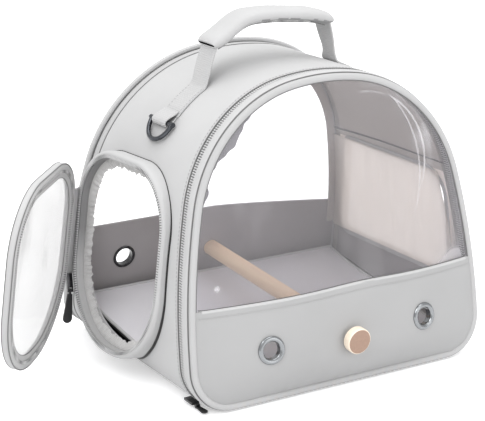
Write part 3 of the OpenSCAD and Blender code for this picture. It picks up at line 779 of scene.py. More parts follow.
def stitches(name, points, normals, body, slot, loop=False):
    """A row of raised stitches along a line of points."""
    pitch, r = sizes().stitch, 0.32 * MM
    half = pitch * 0.34
    along = lengths(points + ([points[0]] if loop else []))
    bm = bmesh.new()
    count = max(1, int(along[-1] / pitch))
    k = 0
    for i in range(count):
        at = (i + 0.5) * along[-1] / count
        while k < len(along) - 2 and along[k + 1] < at:
            k += 1
        a, b = points[k], points[(k + 1) % len(points)]
        t = (at - along[k]) / max(along[k + 1] - along[k], 1e-9)
        centre = a.lerp(b, t)
        ahead = (b - a).normalized()
        up = normals[k]
        side = ahead.cross(up).normalized()
        rings = []
        for place, share in ((-1, 0), (-0.6, 1), (0.6, 1), (1, 0)):
            middle = centre + ahead * (half * place)
            if share == 0:
                rings.append([bm.verts.new(middle)])
                continue
            rings.append([bm.verts.new(middle + (side * c + up * s) * r)
                          for c, s in ((1, 0), (0, 1), (-1, 0), (0, -1))])
        for j in range(4):
            m = (j + 1) % 4
            bm.faces.new((rings[0][0], rings[1][m], rings[1][j]))
            bm.faces.new((rings[1][j], rings[1][m], rings[2][m], rings[2][j]))
            bm.faces.new((rings[3][0], rings[2][j], rings[2][m]))
    mesh = bpy.data.meshes.new(name)
    bm.to_mesh(mesh)
    bm.free()
    mesh.uv_layers.new(name="cut")
    dress(new_object(name, mesh), body, "thread", slot)


def ripple(p, scale, size, seed=0.0):
    """Smooth unevenness of the given size at a place."""
    return size * noise.noise(Vector((p[0] * scale + seed, p[1] * scale - seed, p[2] * scale)))


def eased(name, node, width, body, look, slot, segments=3, reshape=None):
    """A node's own shape with its edges rounded over."""
    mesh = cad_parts[node].data.copy()
    ob = add_object(name, mesh)
    bm = bmesh.new()
    bm.from_mesh(mesh)
    bmesh.ops.remove_doubles(bm, verts=bm.verts, dist=1e-6)
    bmesh.ops.dissolve_limit(bm, angle_limit=radians(1), verts=bm.verts, edges=bm.edges)
    if reshape:
        reshape(bm)
    bm.to_mesh(mesh)
    bm.free()
    bevel = ob.modifiers.new("rounding", "BEVEL")
    bevel.width = width
    bevel.segments = segments
    bevel.limit_method = "ANGLE"
    bevel.angle_limit = radians(35)
    bevel.harden_normals = False
    apply_modifiers(ob)
    tidy_normals(ob.data, 50)
    if "cut" not in ob.data.uv_layers:
        ob.data.uv_layers.new(name="cut")
    return dress(ob, body, look, slot, node)


# ---- The side door's collar frame ----

class CollarFrame:
    """Turns collar places (towards the front, up, outwards) into frame places."""

    def __init__(self):
        lean, yaw, tilt = radians(8), radians(1.1), radians(2.1)
        at = Matrix.Translation(Vector((-154.6, 7.9, 106.4)) * MM)
        turn = (Matrix.Rotation(yaw, 4, "Z") @ Matrix.Rotation(lean, 4, "Y")
                @ Matrix.Rotation(-pi / 2, 4, "Z") @ Matrix.Rotation(pi / 2, 4, "X")
                @ Matrix.Rotation(tilt, 4, "Z"))
        self.closed = at @ turn
        hinge = Vector((-169.2, 85.9, 102.5)) * MM
        axis = Vector((0.0838, -0.0336, -0.9959)).normalized()
        swing = (Matrix.Translation(hinge) @ Matrix.Rotation(sizes().door_open, 4, axis)
                 @ Matrix.Translation(-hinge))
        self.opened = swing @ self.closed

    def spots(self, step):
        s = sizes()
        x, y = s.door_w / 2, s.door_h / 2
        top, low = s.door_top_r, s.door_low_r
        found = line_spots((low - x, -y), (x - low, -y), (0, -1), step)
        found += arc_spots((x - low, low - y), low, -pi / 2, 0, step)
        found += line_spots((x, low - y), (x, y - top), (1, 0), step)
        found += arc_spots((x - top, y - top), top, 0, pi / 2, step)
        found += line_spots((x - top, y), (top - x, y), (0, 1), step)
        found += arc_spots((top - x, y - top), top, pi / 2, pi, step)
        found += line_spots((-x, y - top), (-x, low - y), (-1, 0), step)
        found += arc_spots((low - x, low - y), low, pi, 3 * pi / 2, step)
        return spaced(found)

    def place(self, spot, inset, out, opened=False):
        local = Vector((spot.a - spot.na * inset, spot.b - spot.nb * inset, out))
        return (self.opened if opened else self.closed) @ local

    def wall(self, spot, inset, depth=0.0):
        """How far in from the rim the body's surface is, the given depth inside it."""
        low, high = -60 * MM, 6 * MM
        for _ in range(30):
            middle = (low + high) / 2
            p = self.place(spot, inset, middle)
            if OUTLINE.inside(p.x, p.z) > depth:
                low = middle
            else:
                high = middle
        return low


OUTLINE = None
COLLAR = None


# ---- The fixed shell ----

def wall_rows(out, puff, seed, columns=64):
    """Rows over walls and roof between the cover's two edges, the given distance out."""
    s = sizes()
    rows = []
    for spot in OUTLINE.spots(WALL_STEP):
        z = spot.b + spot.nb * out
        start, stop = front_y(z) + s.wrap_start, rear_y(z) - s.band_w
        row = []
        for j in range(columns + 1):
            t = j / columns
            y = start + (stop - start) * t
            edge = min(t, 1 - t) * (stop - start)
            ease = 1 - exp(-edge / (9 * MM))
            p = Vector((spot.a, y, spot.b))
            lift = ripple(p, 16, puff, seed) + ripple(p, 55, puff * 0.25, seed)
            if spot.b < 2 * MM:
                lift = 0.0
            at = out + (min(lift, 0.0) if out >= 0 else lift) * ease - 0.5 * MM * exp(-edge / (1.2 * MM))
            row.append(Vector((spot.a + spot.na * at, y, spot.b + spot.nb * at)))
        rows.append(row)
    return rows


def door_cutter(inset):
    """A body the shape of the side door's opening"""
    spots = COLLAR.spots(5 * MM)
    rows = [[COLLAR.place(spot, inset, depth) for spot in spots] for depth in (-70 * MM, 30 * MM)]
    return skin("door_cutter", rows, loop_cols=True, caps=True)


def window_spots(step):
    """The mesh window's outline on the right wall, as depth and height."""
    s = sizes()
    front, low, high, r = -78 * MM, 63 * MM, 161 * MM, 22 * MM
    rear_low, rear_high = rear_y(low) - 20 * MM, rear_y(high) - 20 * MM
    small = 10 * MM
    lean = s.rear_lean
    found = line_spots((front + r, low), (rear_low - small, low), (0, -1), step)
    found += arc_spots((rear_low - small * 1.1, low + small), small, -pi / 2, lean, step)
    tilt = (cos(lean), sin(lean))
    found += line_spots((rear_low - 0.1 * small, low + small), (rear_high - 0.1 * small, high - small),
                        tilt, step)[:-1]
    found += arc_spots((rear_high - small * 1.1, high - small), small, lean, pi / 2, step)
    found += line_spots((rear_high - small * 1.1, high), (front + r, high), (0, 1), step)
    found += arc_spots((front + r, high - r), r, pi / 2, pi, step)
    found += line_spots((front, high - r), (front, low + r), (-1, 0), step)
    found += arc_spots((front + r, low + r), r, pi, 3 * pi / 2, step)
    return spaced(found)


def on_right_wall(y, z, out):
    """A place that far outside the right wall"""
    x, nx, nz = OUTLINE.half_width(z)
    return Vector((x + nx * out, y, z + nz * out))


def window_cutter():
    """A body the shape of the mesh window, through the right wall"""
    spots = window_spots(4 * MM)
    rows = [[Vector((x, p.a, p.b)) for p in spots] for x in (0.10, 0.20)]
    return skin("window_cutter", rows, loop_cols=True, caps=True)


def pierce(ob):
    """Cuts the side door's opening and the mesh window out of a layer."""
    for cutter in (door_cutter(-0.2 * MM), window_cutter()):
        cut(ob, cutter)
        bpy.data.objects.remove(cutter)
    tidy_normals(ob.data)


def build_cover():
    """The outer cloth and the lining of walls, roof and base, and the boards between"""
    s = sizes()
    cover = skin("cover_cloth", wall_rows(0.0, 0.5 * MM, 3.0), loop_rows=True)
    thicken(cover, s.cloth_t, -1)
    pierce(cover)
    dress(cover, "body", "cloth", "cloth", "cover", "base_cover")
    lining = skin("lining_cloth", wall_rows(-s.lining_at, 0.4 * MM, 8.0, columns=40), loop_rows=True)
    thicken(lining, 0.8 * MM, -1)
    pierce(lining)
    dress(lining, "body", "lining", "lining_cloth", "lining")
    for node in ("base_board", "left_board", "right_board", "roof_board", "floor_wedges"):
        repaint(node, "board")


def repaint(node, look):
    """Gives a node that the scene keeps as it is its material."""
    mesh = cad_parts[node].data
    mesh.materials.clear()
    mesh.materials.append(material(look))


def piping_section(spot):
    """Full over the walls and roof, and sinking into the binding at the lower corners"""
    k = min(1, max(0, (spot.nb + 0.9) / 0.7))
    return ring_section(0.6 * MM, (2.7 * k - 1.2) * MM, (0.5 + 2.2 * k) * MM, 10)


def build_rear_edge():
    """The band, binding, piping and seams round the rear edge"""
    w = sizes().band_w / MM
    band = mm((4.2, -1.2), (4.2, -0.3), (5.4, 0.1), (7.5, 0.35), (w - 3, 0.3), (w - 1.2, 0.0),
              (w - 0.2, -0.6), (w - 0.2, -1.2))
    dress(hoop("rear_edge_band", band, rear=True), "body", "trim", "cloth", "rear_band")
    dress(hoop("rear_edge_binding", binding_section(), rear=True), "body", "trim", "binding", "rear_binding")
    upper = [spot for spot in OUTLINE.spots(WALL_STEP) if spot.nb > -0.95]
    piping = hoop("rear_edge_piping", piping_section, rear=True, spots=upper)
    dress(piping, "body", "cloth", "binding")
    for name, ahead, out in (("rear_band_seam", w, -0.25), ("rear_binding_seam", 4.1, -0.5)):
        seam = hoop(name, ring_section(ahead * MM, out * MM, 0.5 * MM), rear=True)
        dress(seam, "body", "seam", "binding")


def build_rear_panel():
    """The lower rear panel in two layers, its eyelet, and the lining's edge above it"""
    s = sizes()
    layers = []
    for name, ahead, t in (("rear_lower_panel", 1.2, 1.2), ("rear_panel_lining", 3.4, 0.9)):
        rows = flat_rows(lambda z: rear_y(z) - ahead * MM, 6.4 * MM, s.rear_hem_z, 0.5 * MM, top=rear_hem)
        layers.append(skin(name, rows))
        thicken(layers[-1], t * MM, 0)
    side, out = Vector((1, 0, 0)), Vector((0, cos(s.rear_lean), sin(s.rear_lean)))
    up = out.cross(side)
    eyelet = Vector((REAR_EYELET_X, rear_y(REAR_EYELET_Z), REAR_EYELET_Z))
    for ob in layers:
        bore(ob, eyelet, out, 8.7 * MM)
        bore(ob, *along_perch(244 * MM), 3.2 * MM)
    dress(layers[0], "body", "panel", "cloth_rear", "rear_panel")
    dress(layers[1], "body", "rear", "cloth_rear")
    section = mm((8.4, 1.4), (8.4, -4.8), (9.2, -5.6), (10.4, -5.5), (11.1, -4.9), (11.1, -4.2), (9.2, -3.9),
                 (9.2, 0.6), (11.4, 0.7), (11.4, 1.3), (10.4, 1.9), (9.2, 2.0))
    rows = [[eyelet + (side * cos(a) + up * sin(a)) * r + out * h for r, h in section] for a in turns(48)]
    tube("rear_eyelet_ring", rows, "body", "black_metal", "black_metal", "rear_eyelet", "rear_eyelet_washer")
    high = [spot for spot in OUTLINE.spots(WALL_STEP) if spot.b > LINING_FOOT]
    facing = mm((3.9, -6.2), (3.9, -14.2), (4.3, -14.6), (4.9, -14.2), (4.9, -6.2))
    dress(hoop("rear_edge_facing", facing, rear=True, spots=high), "body", "lining", "lining_cloth")


def rear_hem(x):
    """Height of the rear panel's top edge, which sags towards the right"""
    return sizes().rear_hem_z + 4 * MM - 13 * MM * (max(0, x) / (125 * MM)) ** 1.2


def build_rear_window():
    """The clear sheet above the rear panel, and the tape over the panel's edge"""
    s = sizes()
    rows = flat_rows(lambda z: rear_y(z) - 2.3 * MM, s.rear_hem_z - 14 * MM, s.body_h - 6.2 * MM, 0.3 * MM)
    window = skin("rear_clear_window", rows)
    thicken(window, 0.5 * MM, 0)
    dress(window, "body", "clear_rear", "clear_sheet", "rear_window")
    hem = []
    for i in range(41):
        x = (i / 20 - 1) * OUTLINE.half_width(s.rear_hem_z, 6.6 * MM)[0]
        hem.append([Vector((x, rear_y(z) - 2.2 * MM + dy, z)) for dy, z in tape_section(rear_hem(x))])
    tape = tube("rear_hem_tape", hem, "body", "trim", "binding", "rear_hem", loop=False)
    tape.data.materials.append(material("rear"))
    for poly in tape.data.polygons:
        poly.material_index = 1 if poly.normal.y < 0.3 else 0


def tape_section(top):
    """A folded tape over an edge: its depths and heights."""
    return [(dy, top + dz) for dy, dz in mm((-1.9, -6), (-2.1, -3), (-1.7, -0.3), (0, 0.3), (1.7, -0.3),
                                            (2.1, -3), (1.9, -6))]


def flat_rows(depth, low, high, wave, seed=5.0, inset=6.2 * MM, columns=48, top=None):
    """Rows of an upright sheet, as wide as the body there. Its top edge may be a height for each x."""
    count = max(8, round((high - low) / (5 * MM)))
    rows = []
    for i in range(count + 1):
        z = low + (high - low) * i / count
        half = OUTLINE.half_width(min(z, sizes().body_h - inset - 0.4 * MM), inset)[0]
        row = []
        for j in range(columns + 1):
            x = (2 * j / columns - 1) * half
            if top:
                z = low + (top(x) - low) * i / count
            edge = min(half - abs(x), z - low, (top(x) if top else high) - z)
            p = Vector((x, depth(z), z))
            p.y += ripple(p, 14, wave, seed) * (1 - exp(-edge / (12 * MM)))
            row.append(p)
        rows.append(row)
    return rows


def binding_section():
    """A padded edge binding, round on its outer face."""
    low, high = -7.0 * MM, -1.2 * MM
    middle, half = (low + high) / 2, (high - low) / 2
    face = [(1.6 * MM - 2.1 * MM * sin(pi * i / 10), middle - half * cos(pi * i / 10)) for i in range(11)]
    return [(4 * MM, low + 0.6 * MM), *face, (4 * MM, high - 0.4 * MM)]


def build_window_binding():
    """The tape round the mesh window, and its stitches"""
    def place(spot, grow, out):
        return on_right_wall(spot.a + spot.na * grow, spot.b + spot.nb * grow, out)

    spots = window_spots(2 * MM)
    section = mm((5, 0.1), (4.6, 0.7), (2.5, 0.9), (0.4, 0.7), (-0.4, 0.0), (-0.5, -2.5), (-0.4, -5.2),
                 (0.6, -5.9), (4.5, -6.0), (5, -5.2), (4.4, -4.9), (0.5, -4.8), (0.4, -2.5), (0.5, -0.1))
    rows = [[place(spot, grow, out) for grow, out in section] for spot in spots]
    tube("mesh_window_binding", rows, "body", "trim", "binding", "mesh_window_trim")
    points = [place(spot, 3.6 * MM, 0.8 * MM) for spot in spots]
    stitches("mesh_window_stitches", points, [Vector((1, 0, 0.1))] * len(points), "body", "binding", True)


def build_net_window():
    """The gathered net of the mesh window, and the lining's seam above it"""
    rows = []
    low, high = 63.5 * MM, NET_TOP
    for i in range(41):
        share = i / 40
        z = low + (high - low) * share
        start = (-92 + 17 * share) * MM + ripple((0, 0, z), 60, 2.4 * MM, 7.0)
        stop = rear_y(z) - 5.4 * MM
        row = []
        for j in range(161):
            t = j / 160
            y = start + (stop - start) * t
            edge = min(t * (stop - start), (1 - t) * (stop - start), z - low, high - z)
            slack = 1 - exp(-edge / (9 * MM))
            folds = (sin(t * 41 + 1.3 * sin(z * 50)) * 0.5 * MM
                     + ripple((y * 1.6, z * 0.3, 0), 40, 1.6 * MM, 2.0)) * slack
            row.append(on_right_wall(y, z, -7.2 * MM + max(-1.8 * MM, min(0.8 * MM, folds))))
        rows.append(row)
    net = skin("gathered_net_window", rows)
    thicken(net, 0.25 * MM, 0)
    dress(net, "body", "net", "mesh", "mesh_window")
    seam = []
    for i in range(44):
        y = (-84 + 4 * i) * MM
        z = 172.4 * MM - 3.2 * MM * max(0, (y + 10 * MM) / (95 * MM)) ** 2
        r = (0.5 + 0.3 * i / 43) * MM
        seam.append([on_right_wall(y, z, -4.9 * MM + dn * r) + Vector((0, 0, dz * r)) for dn, dz in
                     ((0, -1.5), (-1, -0.8), (-1, 0.8), (0, 1.5))])
    tube("right_wall_seam", seam, "body", "seam", "lining_cloth", loop=False)


# ---- Zips ----

def tooth_wave(i):
    """Every second step along a zip is a tooth"""
    return 1.0 if i % 2 else 0.35


def zip_hoop(name, back, out, w, h):
    """A row of zip teeth round the body."""
    spots = OUTLINE.spots(sizes().tooth / 2, from_x=100 * MM)
    rows = []
    for i, spot in enumerate(spots):
        k = tooth_wave(i)
        drop, shoulder = -h * (1 - k) * 0.5, -h * 0.3 * (2 - k)
        section = ((-w / 2, -h), (-w / 2, shoulder), (-w * 0.3, drop), (w * 0.3, drop), (w / 2, shoulder),
                   (w / 2, -h))
        rows.append([behind_front(spot, back + b, out + o) for b, o in section])
    return skin(name, rows, loop_cols=True, caps=True)


def zip_ring(name, inset, out, w, h, opened=False):
    """A row of zip teeth round the side door or its collar."""
    spots = COLLAR.spots(sizes().tooth / 2)
    spots = spots[:len(spots) // 2 * 2]
    rows = []
    for i, spot in enumerate(spots):
        k = tooth_wave(i)
        drop = -h * 0.45 * (1 - k)
        section = ((-w / 2, -h), (-w / 2, -h * 0.3), (-w * 0.3, drop), (w * 0.3, drop), (w / 2, -h * 0.3),
                   (w / 2, -h))
        rows.append([COLLAR.place(spot, inset + b, out + (-o if opened else o), opened) for b, o in section])
    return skin(name, rows, loop_rows=True, loop_cols=True)


# ---- The front flap ----

def swell(x, z):
    """How far the lower front panel stands out from the front plane."""
    s = sizes()
    bow = s.bulge - (s.bulge_r - sqrt(s.bulge_r ** 2 - x * x))
    foot, full, widest = 7 * MM, 38 * MM, 45 * MM
    rise = 1 - (1 - min(1, max(0, (z - foot) / full))) ** 2.3
    fall = 1 - 0.19 * max(0, (z - widest) / (s.hem_z - widest)) ** 2
    half = OUTLINE.half_width(max(z, foot + 0.1 * MM), 7 * MM)[0]
    side = 1 - (1 - min(1, max(0, (half - abs(x)) / (11 * MM)))) ** 2.4
    return max(0.0, bow) * rise * fall * side


def on_swell(x, z, out):
    """A place on the lower front panel, the given distance outside it."""
    s = sizes()
    lift = swell(x, z) + out
    return Vector((x, front_y(z) - lift / cos(s.front_lean), z))


def front_hem(x):
    """Height of the front panel's top edge, a little higher in the middle"""
    return sizes().hem_z - 0.8 * MM + 2.2 * MM * exp(-((x - 15 * MM) / (45 * MM)) ** 2)


def build_flap_panel():
    """The padded lower front panel, with holes for its eyelets and the perch's screw"""
    s = sizes()
    low, columns = 6.6 * MM, 96
    rows = []
    for i in range(36):
        share = (i / 35) ** 1.15
        half = OUTLINE.half_width(low + (s.hem_z - low) * share, 6.3 * MM)[0]
        row = []
        for j in range(columns + 1):
            x = (2 * j / columns - 1) * half
            high = front_hem(x)
            z = low + (high - low) * share
            edge = min(half - abs(x), z - low)
            soft = 1 - exp(-edge / (10 * MM))
            wave = ripple((x, 0, z), 22, 0.55 * MM, 4.0) * soft
            pucker = 0.25 * MM * sin(x * 420 + 3 * sin(x * 90)) * exp(-(z - low) / (6 * MM))
            hem = 0.5 * MM * exp(-((z - (high - 6 * MM)) / (1.0 * MM)) ** 2)
            row.append(on_swell(x, z, wave + pucker - hem - 0.5 * MM * exp(-edge / (1.5 * MM))))
        rows.append(row)
    panel = skin("padded_front_panel", rows)
    thicken(panel, 3 * MM, -1)
    rounding = panel.modifiers.new("rounding", "BEVEL")
    rounding.width = 1.1 * MM
    rounding.segments = 3
    rounding.angle_limit = radians(50)
    apply_modifiers(panel)
    for side in (-1, 1):
        turn = asin(EYELET_X / s.bulge_r)
        out = Vector((side * sin(turn), -cos(turn) * cos(s.front_lean), cos(turn) * sin(s.front_lean)))
        bore(panel, on_swell(side * EYELET_X, EYELET_Z, 0), out, 8.6 * MM)
    bore(panel, *along_perch(-3 * MM), 4.2 * MM)
    dress(panel, "flap", "panel", "cloth_front", "flap_panel", "flap_panel_foot", "flap_hem")


def build_front_hem():
    """The stitches, swollen edge and shadow line along the front panel's top edge"""
    s = sizes()
    span = OUTLINE.half_width(s.hem_z - 6 * MM, 7.6 * MM)[0]
    across = [(i / 60 - 1) * span for i in range(121)]
    points = [on_swell(x, front_hem(x) - 5.6 * MM, 0.15 * MM) for x in across]
    stitches("front_hem_stitches", points, [Vector((0, -1, 0))] * len(points), "flap", "binding")
    for name, look, up, out, r in (("front_hem_edge", "cloth", -0.9, -1.3, 1.6),
                                   ("front_hem_shadow", "seam", 0.4, -3.0, 0.4)):
        edge = [on_swell(x, front_hem(x) + up * MM, out * MM) for x in across[1:-1]]
        bead(name, edge, Vector((0, 0, 1)), r * MM, "flap", look, "binding", 8, loop=False)


def build_flap_window():
    """The clear front sheet, which bulges over the padded panel's top edge"""
    s = sizes()
    low, high, columns = s.hem_z - 5 * MM, s.body_h - 6.4 * MM, 72
    rows = []
    for i in range(49):
        z = low + (high - low) * i / 48
        half = OUTLINE.half_width(z, 6.4 * MM)[0]
        row = []
        for j in range(columns + 1):
            x = (2 * j / columns - 1) * half
            start = swell(x, s.hem_z) - 3.0 * MM
            ease = exp(-max(0, z - s.hem_z) / (34 * MM))
            edge = min(half - abs(x), high - z)
            soft = 1 - exp(-edge / (14 * MM))
            slack = (start + 1.8 * MM) * ease + ripple((x, 0, z), 11, 0.9 * MM, 9.0)
            row.append(Vector((x, front_y(z) + 1.8 * MM - slack * soft, z)))
        rows.append(row)
    window = skin("front_clear_window", rows)
    thicken(window, 0.5 * MM, -1)
    dress(window, "flap", "clear", "clear_sheet", "flap_window")


def build_window_fold():
    """The puckered strip of cloth inside the clear window's left edge"""
    low, high = 172, 252
    left = [p for p in OUTLINE.spots(2.0 * MM) if p.a < 0 and low * MM < p.b < high * MM]
    rows = []
    for spot in left:
        z = spot.b / MM
        ends = (1 - exp((z - high) / 5)) * (1 - exp((low - z) / 3))
        swollen = 7.5 * exp(-((z - 230) / 17) ** 2) + 3.5 * exp(-((z - 184) / 7) ** 2)
        wide = ((1.4 + swollen) * MM + ripple((spot.a, 0, spot.b), 130, 2.4 * MM, 3.0)) * ends
        rows.append([behind_front(spot, (2.2 + 0.4 * k) * MM, -6.6 * MM - wide * k / 3) for k in range(4)])
    fold = skin("window_edge_fold", rows)
    thicken(fold, 0.4 * MM, 0)
    dress(fold, "flap", "facing", "binding")


def build_flap_edges():
    """The binding, gusset, seams and both halves of the zip round the front"""
    s = sizes()
    dress(hoop("flap_edge_binding", binding_section()), "flap", "trim", "binding", "flap_binding")
    open_spots = OUTLINE.spots(WALL_STEP, from_x=104 * MM)
    g = s.zip_start / MM
    band = mm((4.3, -1.4), (4.3, -0.5), (5.2, 0.1), (7, 0.4), (g - 3, 0.4), (g - 1.2, 0.1),
              (g - 0.3, -0.5), (g - 0.3, -1.4))
    dress(hoop("flap_gusset_band", band, spots=open_spots), "flap", "cloth", "cloth", "flap_gusset")
    for name, back, out, r in (("flap_panel_seam", 1.2, -7.1, 0.6), ("flap_gusset_seam", 4.0, -1.0, 0.55)):
        dress(hoop(name, ring_section(back * MM, out * MM, r * MM)), "flap", "seam", "binding")
    for body, back in (("flap", s.zip_start + 1.35 * MM), ("body", s.wrap_start - 1.45 * MM)):
        teeth = zip_hoop(body + "_zip_teeth", back, -0.5 * MM, 2.4 * MM, 1.6 * MM)
        dress(teeth, body, "zip", "zip_coil", body + "_zip_row")
    seam = hoop("cover_front_seam", ring_section(s.wrap_start, -0.3 * MM, 0.5 * MM), spots=open_spots)
    dress(seam, "body", "seam", "binding")
    points = [behind_front(spot, s.wrap_start + 2.6 * MM, 0.1 * MM) for spot in open_spots]
    normals = [Vector((spot.na, 0, spot.nb)) for spot in open_spots]
    stitches("cover_front_stitches", points, normals, "body", "binding")
    y = 5 * MM - s.base_d / 2
    section = mm((-1.2, 0.3), (-1.1, 0.9), (0, 1.05), (1.1, 0.9), (1.2, 0.3), (0, 0.2))
    rows = [[Vector(((i / 10.5 - 1) * 105 * MM, y + dy, z)) for dy, z in section] for i in range(22)]
    tube("flap_hinge_tape", rows, "body", "seam", "binding", "flap_hinge_strip", loop=False)


# ---- The side door's collar and the door ----

def build_collar():
    """The collar that stands out from the left wall, its sleeve, wall seam and zip"""
    s = sizes()
    w = s.collar_w
    spots = COLLAR.spots(3 * MM)
    rows, seam, shadow_line_r = [], [], []
    for spot in spots:
        outer, inner = COLLAR.wall(spot, 0), COLLAR.wall(spot, w, 5 * MM)
        inner = min(inner, -5 * MM)
        section = [(0.0, outer - 2.5 * MM), (0.0, outer - 0.2 * MM)]
        for t in (0.8, 0.55, 0.3):
            section.append((-0.35 * MM * sin(pi * t), outer * t))
        section += mm((0, -2.6), (0.5, -1.1), (1.6, -0.25), (2.8, 0), (4.2, -0.3), (w / MM - 0.5, -1.1))
        section += [(w, -2.4 * MM), (w, inner * 0.5 - 1.2 * MM), (w, inner)]
        rows.append([COLLAR.place(spot, d, n) for d, n in section])
        # painted shadow: a black cord along the collar's foot on the wall, thicker on the lower front part
        seam.append(COLLAR.place(spot, -0.2 * MM, outer + 0.2 * MM))
        shadow_spread = max(0, spot.na * 0.8 - spot.nb * 0.6)
        shadow_line_r.append((0.4 + 1.3 * shadow_spread ** 2) * MM)
    tube("door_collar_cloth", rows, "body", "cloth", "cloth", "door_collar")
    outward = COLLAR.closed.to_3x3() @ Vector((0, 0, 1))
    bead("collar_wall_shadow_line", seam, outward, shadow_line_r, "body", "shadow", "binding")
    rows = []
    for spot in spots:
        inner = sleeve_end(spot)
        rows.append([COLLAR.place(spot, w + d, n) for d, n in
                     ((0.1 * MM, -1.6 * MM), (0.8 * MM, -1.8 * MM), (0.9 * MM, inner * 0.5),
                      (0.9 * MM, inner), (0.1 * MM, inner))])
    tube("collar_inner_lining", rows, "body", "sleeve", "lining_cloth", "collar_lining")
    teeth = zip_ring("collar_zip_teeth", 4.6 * MM, 0.6 * MM, 3.0 * MM, 1.6 * MM)
    dress(teeth, "body", "zip", "zip_coil", "collar_zip_row")


def sleeve_end(spot):
    """How deep the sleeve inside the collar reaches at a spot."""
    return min(COLLAR.wall(spot, sizes().collar_w + 0.4 * MM, 3 * MM), -6 * MM)


def build_fringe():
    """The gathered net frill at the inner end of the collar's sleeve."""
    w = sizes().collar_w
    spots = COLLAR.spots(1.2 * MM)
    total = spots[-1].along
    rows = []
    for spot in spots:
        turn = 2 * pi * spot.along / total
        frill = sin(turn * 97 + 2.6 * sin(turn * 11)) * 0.6 + sin(turn * 61 + 1.0) * 0.4
        ragged = ripple((spot.a, spot.b, 0), 260, 1.0, 4.0) + ripple((spot.a, spot.b, 0), 60, 1.0, 1.0)
        reach = 7.6 * MM + 2.4 * MM * ragged + 0.6 * MM * frill
        base = max(sleeve_end(spot) + 2.2 * MM, -8.6 * MM)
        row = []
        for k in range(8):
            t = k / 7
            fold = 1.2 * MM * frill * t
            row.append(COLLAR.place(spot, w + 1.1 * MM + reach * t ** 1.1, base - 3.5 * MM * t * t + fold))
        rows.append(row)
    frill = skin("gathered_net_fringe", rows, loop_rows=True)
    thicken(frill, 0.3 * MM, 0)
    dress(frill, "body", "frill", "mesh", "collar_fringe")


DOOR_LOW, DOOR_HIGH = 1.8, 9.8      # the door band's two faces, outwards from the collar's rim, in mm


def build_door():
    """The padded band of the side door, its seams and its zip"""
    low, high = DOOR_LOW, DOOR_HIGH
    middle = (low + high) / 2
    section = mm((0.9, low + 1.4), (0.55, middle), (0.9, high - 1.4), (2.4, high - 0.2), (5.2, high),
                 (8.2, high - 0.4), (9.6, high - 2.2), (9.9, middle), (10.3, low + 3.0), (13.0, low + 2.7),
                 (13.4, low + 2.0), (13.0, low + 1.4), (9.0, low + 1.0), (6.2, low + 0.4), (2.4, low))
    spots = COLLAR.spots(3 * MM)
    rows = [[COLLAR.place(spot, d, n, True) for d, n in section] for spot in spots]
    tube("padded_door_band", rows, "door", "cloth", "binding", "door_band")
    outward = COLLAR.opened.to_3x3() @ Vector((0, 0, 1))
    for name, inset, out, r in (("door_edge_seam", 0.85, low + 0.9, 0.5),
                                ("door_face_seam", 0.95, high - 1.3, 0.45),
                                ("door_sheet_seam", 13.4, low + 1.9, 0.4)):
        line = [COLLAR.place(spot, inset * MM, out * MM, True) for spot in spots]
        bead(name, line, outward, r * MM, "door", "seam", "binding")
    teeth = zip_ring("door_zip_teeth", 7.4 * MM, (low - 0.3) * MM, 3.2 * MM, 1.2 * MM, True)
    dress(teeth, "door", "zip", "zip_coil", "door_zip_row")


def build_door_sheet():
    """The clear sheet in the side door, built from rings"""
    spots = COLLAR.spots(3 * MM)
    rings = 14
    rows = []
    for k in range(rings + 1):
        share = 1 - k / rings * 0.985
        row = []
        for spot in spots:
            a, b = (spot.a - spot.na * 9.2 * MM) * share, (spot.b - spot.nb * 9.2 * MM) * share
            out = (DOOR_LOW + 3.3) * MM + ripple((a, b, 0), 18, 0.8 * MM, 6.0) * (1 - share ** 6)
            row.append(COLLAR.opened @ Vector((a, b, out)))
        rows.append(row)
    sheet = skin("door_clear_panel", rows, loop_cols=True)
    close_hole(sheet)
    thicken(sheet, 0.5 * MM, 0)
    dress(sheet, "door", "clear_door", "clear_sheet", "door_panel")


def close_hole(ob):
    """Fills the small hole left in the middle of a sheet built from rings."""
    bm = bmesh.new()
    bm.from_mesh(ob.data)
    edges = [e for e in bm.edges if e.is_boundary]
    centre = sum((v.co for v in bm.verts), Vector()) / len(bm.verts)
    near = min((e.verts[0].co - centre).length for e in edges)
    inner = [e for e in edges if (e.verts[0].co - centre).length < near * 4 + 5 * MM]
    bmesh.ops.contextual_create(bm, geom=inner)
    bm.to_mesh(ob.data)
    bm.free()


def bezier(a, b, c, d, count):
    """Points along the curve from a to d that b and c pull"""
    shares = [i / count for i in range(count + 1)]
    return [a * (1 - t) ** 3 + b * (3 * t * (1 - t) ** 2) + c * (3 * t * t * (1 - t)) + d * t ** 3
            for t in shares]


def build_hinge():
    """The cloth that joins the door to its collar, bending between the two."""
    s = sizes()
    rows = []
    low, high, edge = -34 * MM, 47 * MM, -s.door_w / 2
    pulls = ((COLLAR.closed, 0.7, -7), (COLLAR.closed, 0.8, -1), (COLLAR.opened, 0.4, 2.6),
             (COLLAR.opened, 0.3, 8))
    for i in range(26):
        v = low + (high - low) * i / 25
        row = bezier(*[turn @ Vector((edge - aside * MM, v, out * MM)) for turn, aside, out in pulls], 16)
        for j, p in enumerate(row):
            p.x -= 0.4 * MM * sin(i * 1.9) * sin(pi * j / 16)
        rows.append(row)
    strip = skin("door_hinge_cloth", rows)
    thicken(strip, 1.0 * MM, 0)
    strip.data.materials.append(material("trim"))
    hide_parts("door_hinge_strip")
    middle = (rows[12][4] + rows[12][12]) / 2
    ahead = (rows[12][16] - rows[12][0]).normalized()
    middle - ahead * 5 * MM
    middle + ahead * 5 * MM
    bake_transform(strip)


# ---- Webbing, rings and handle ----

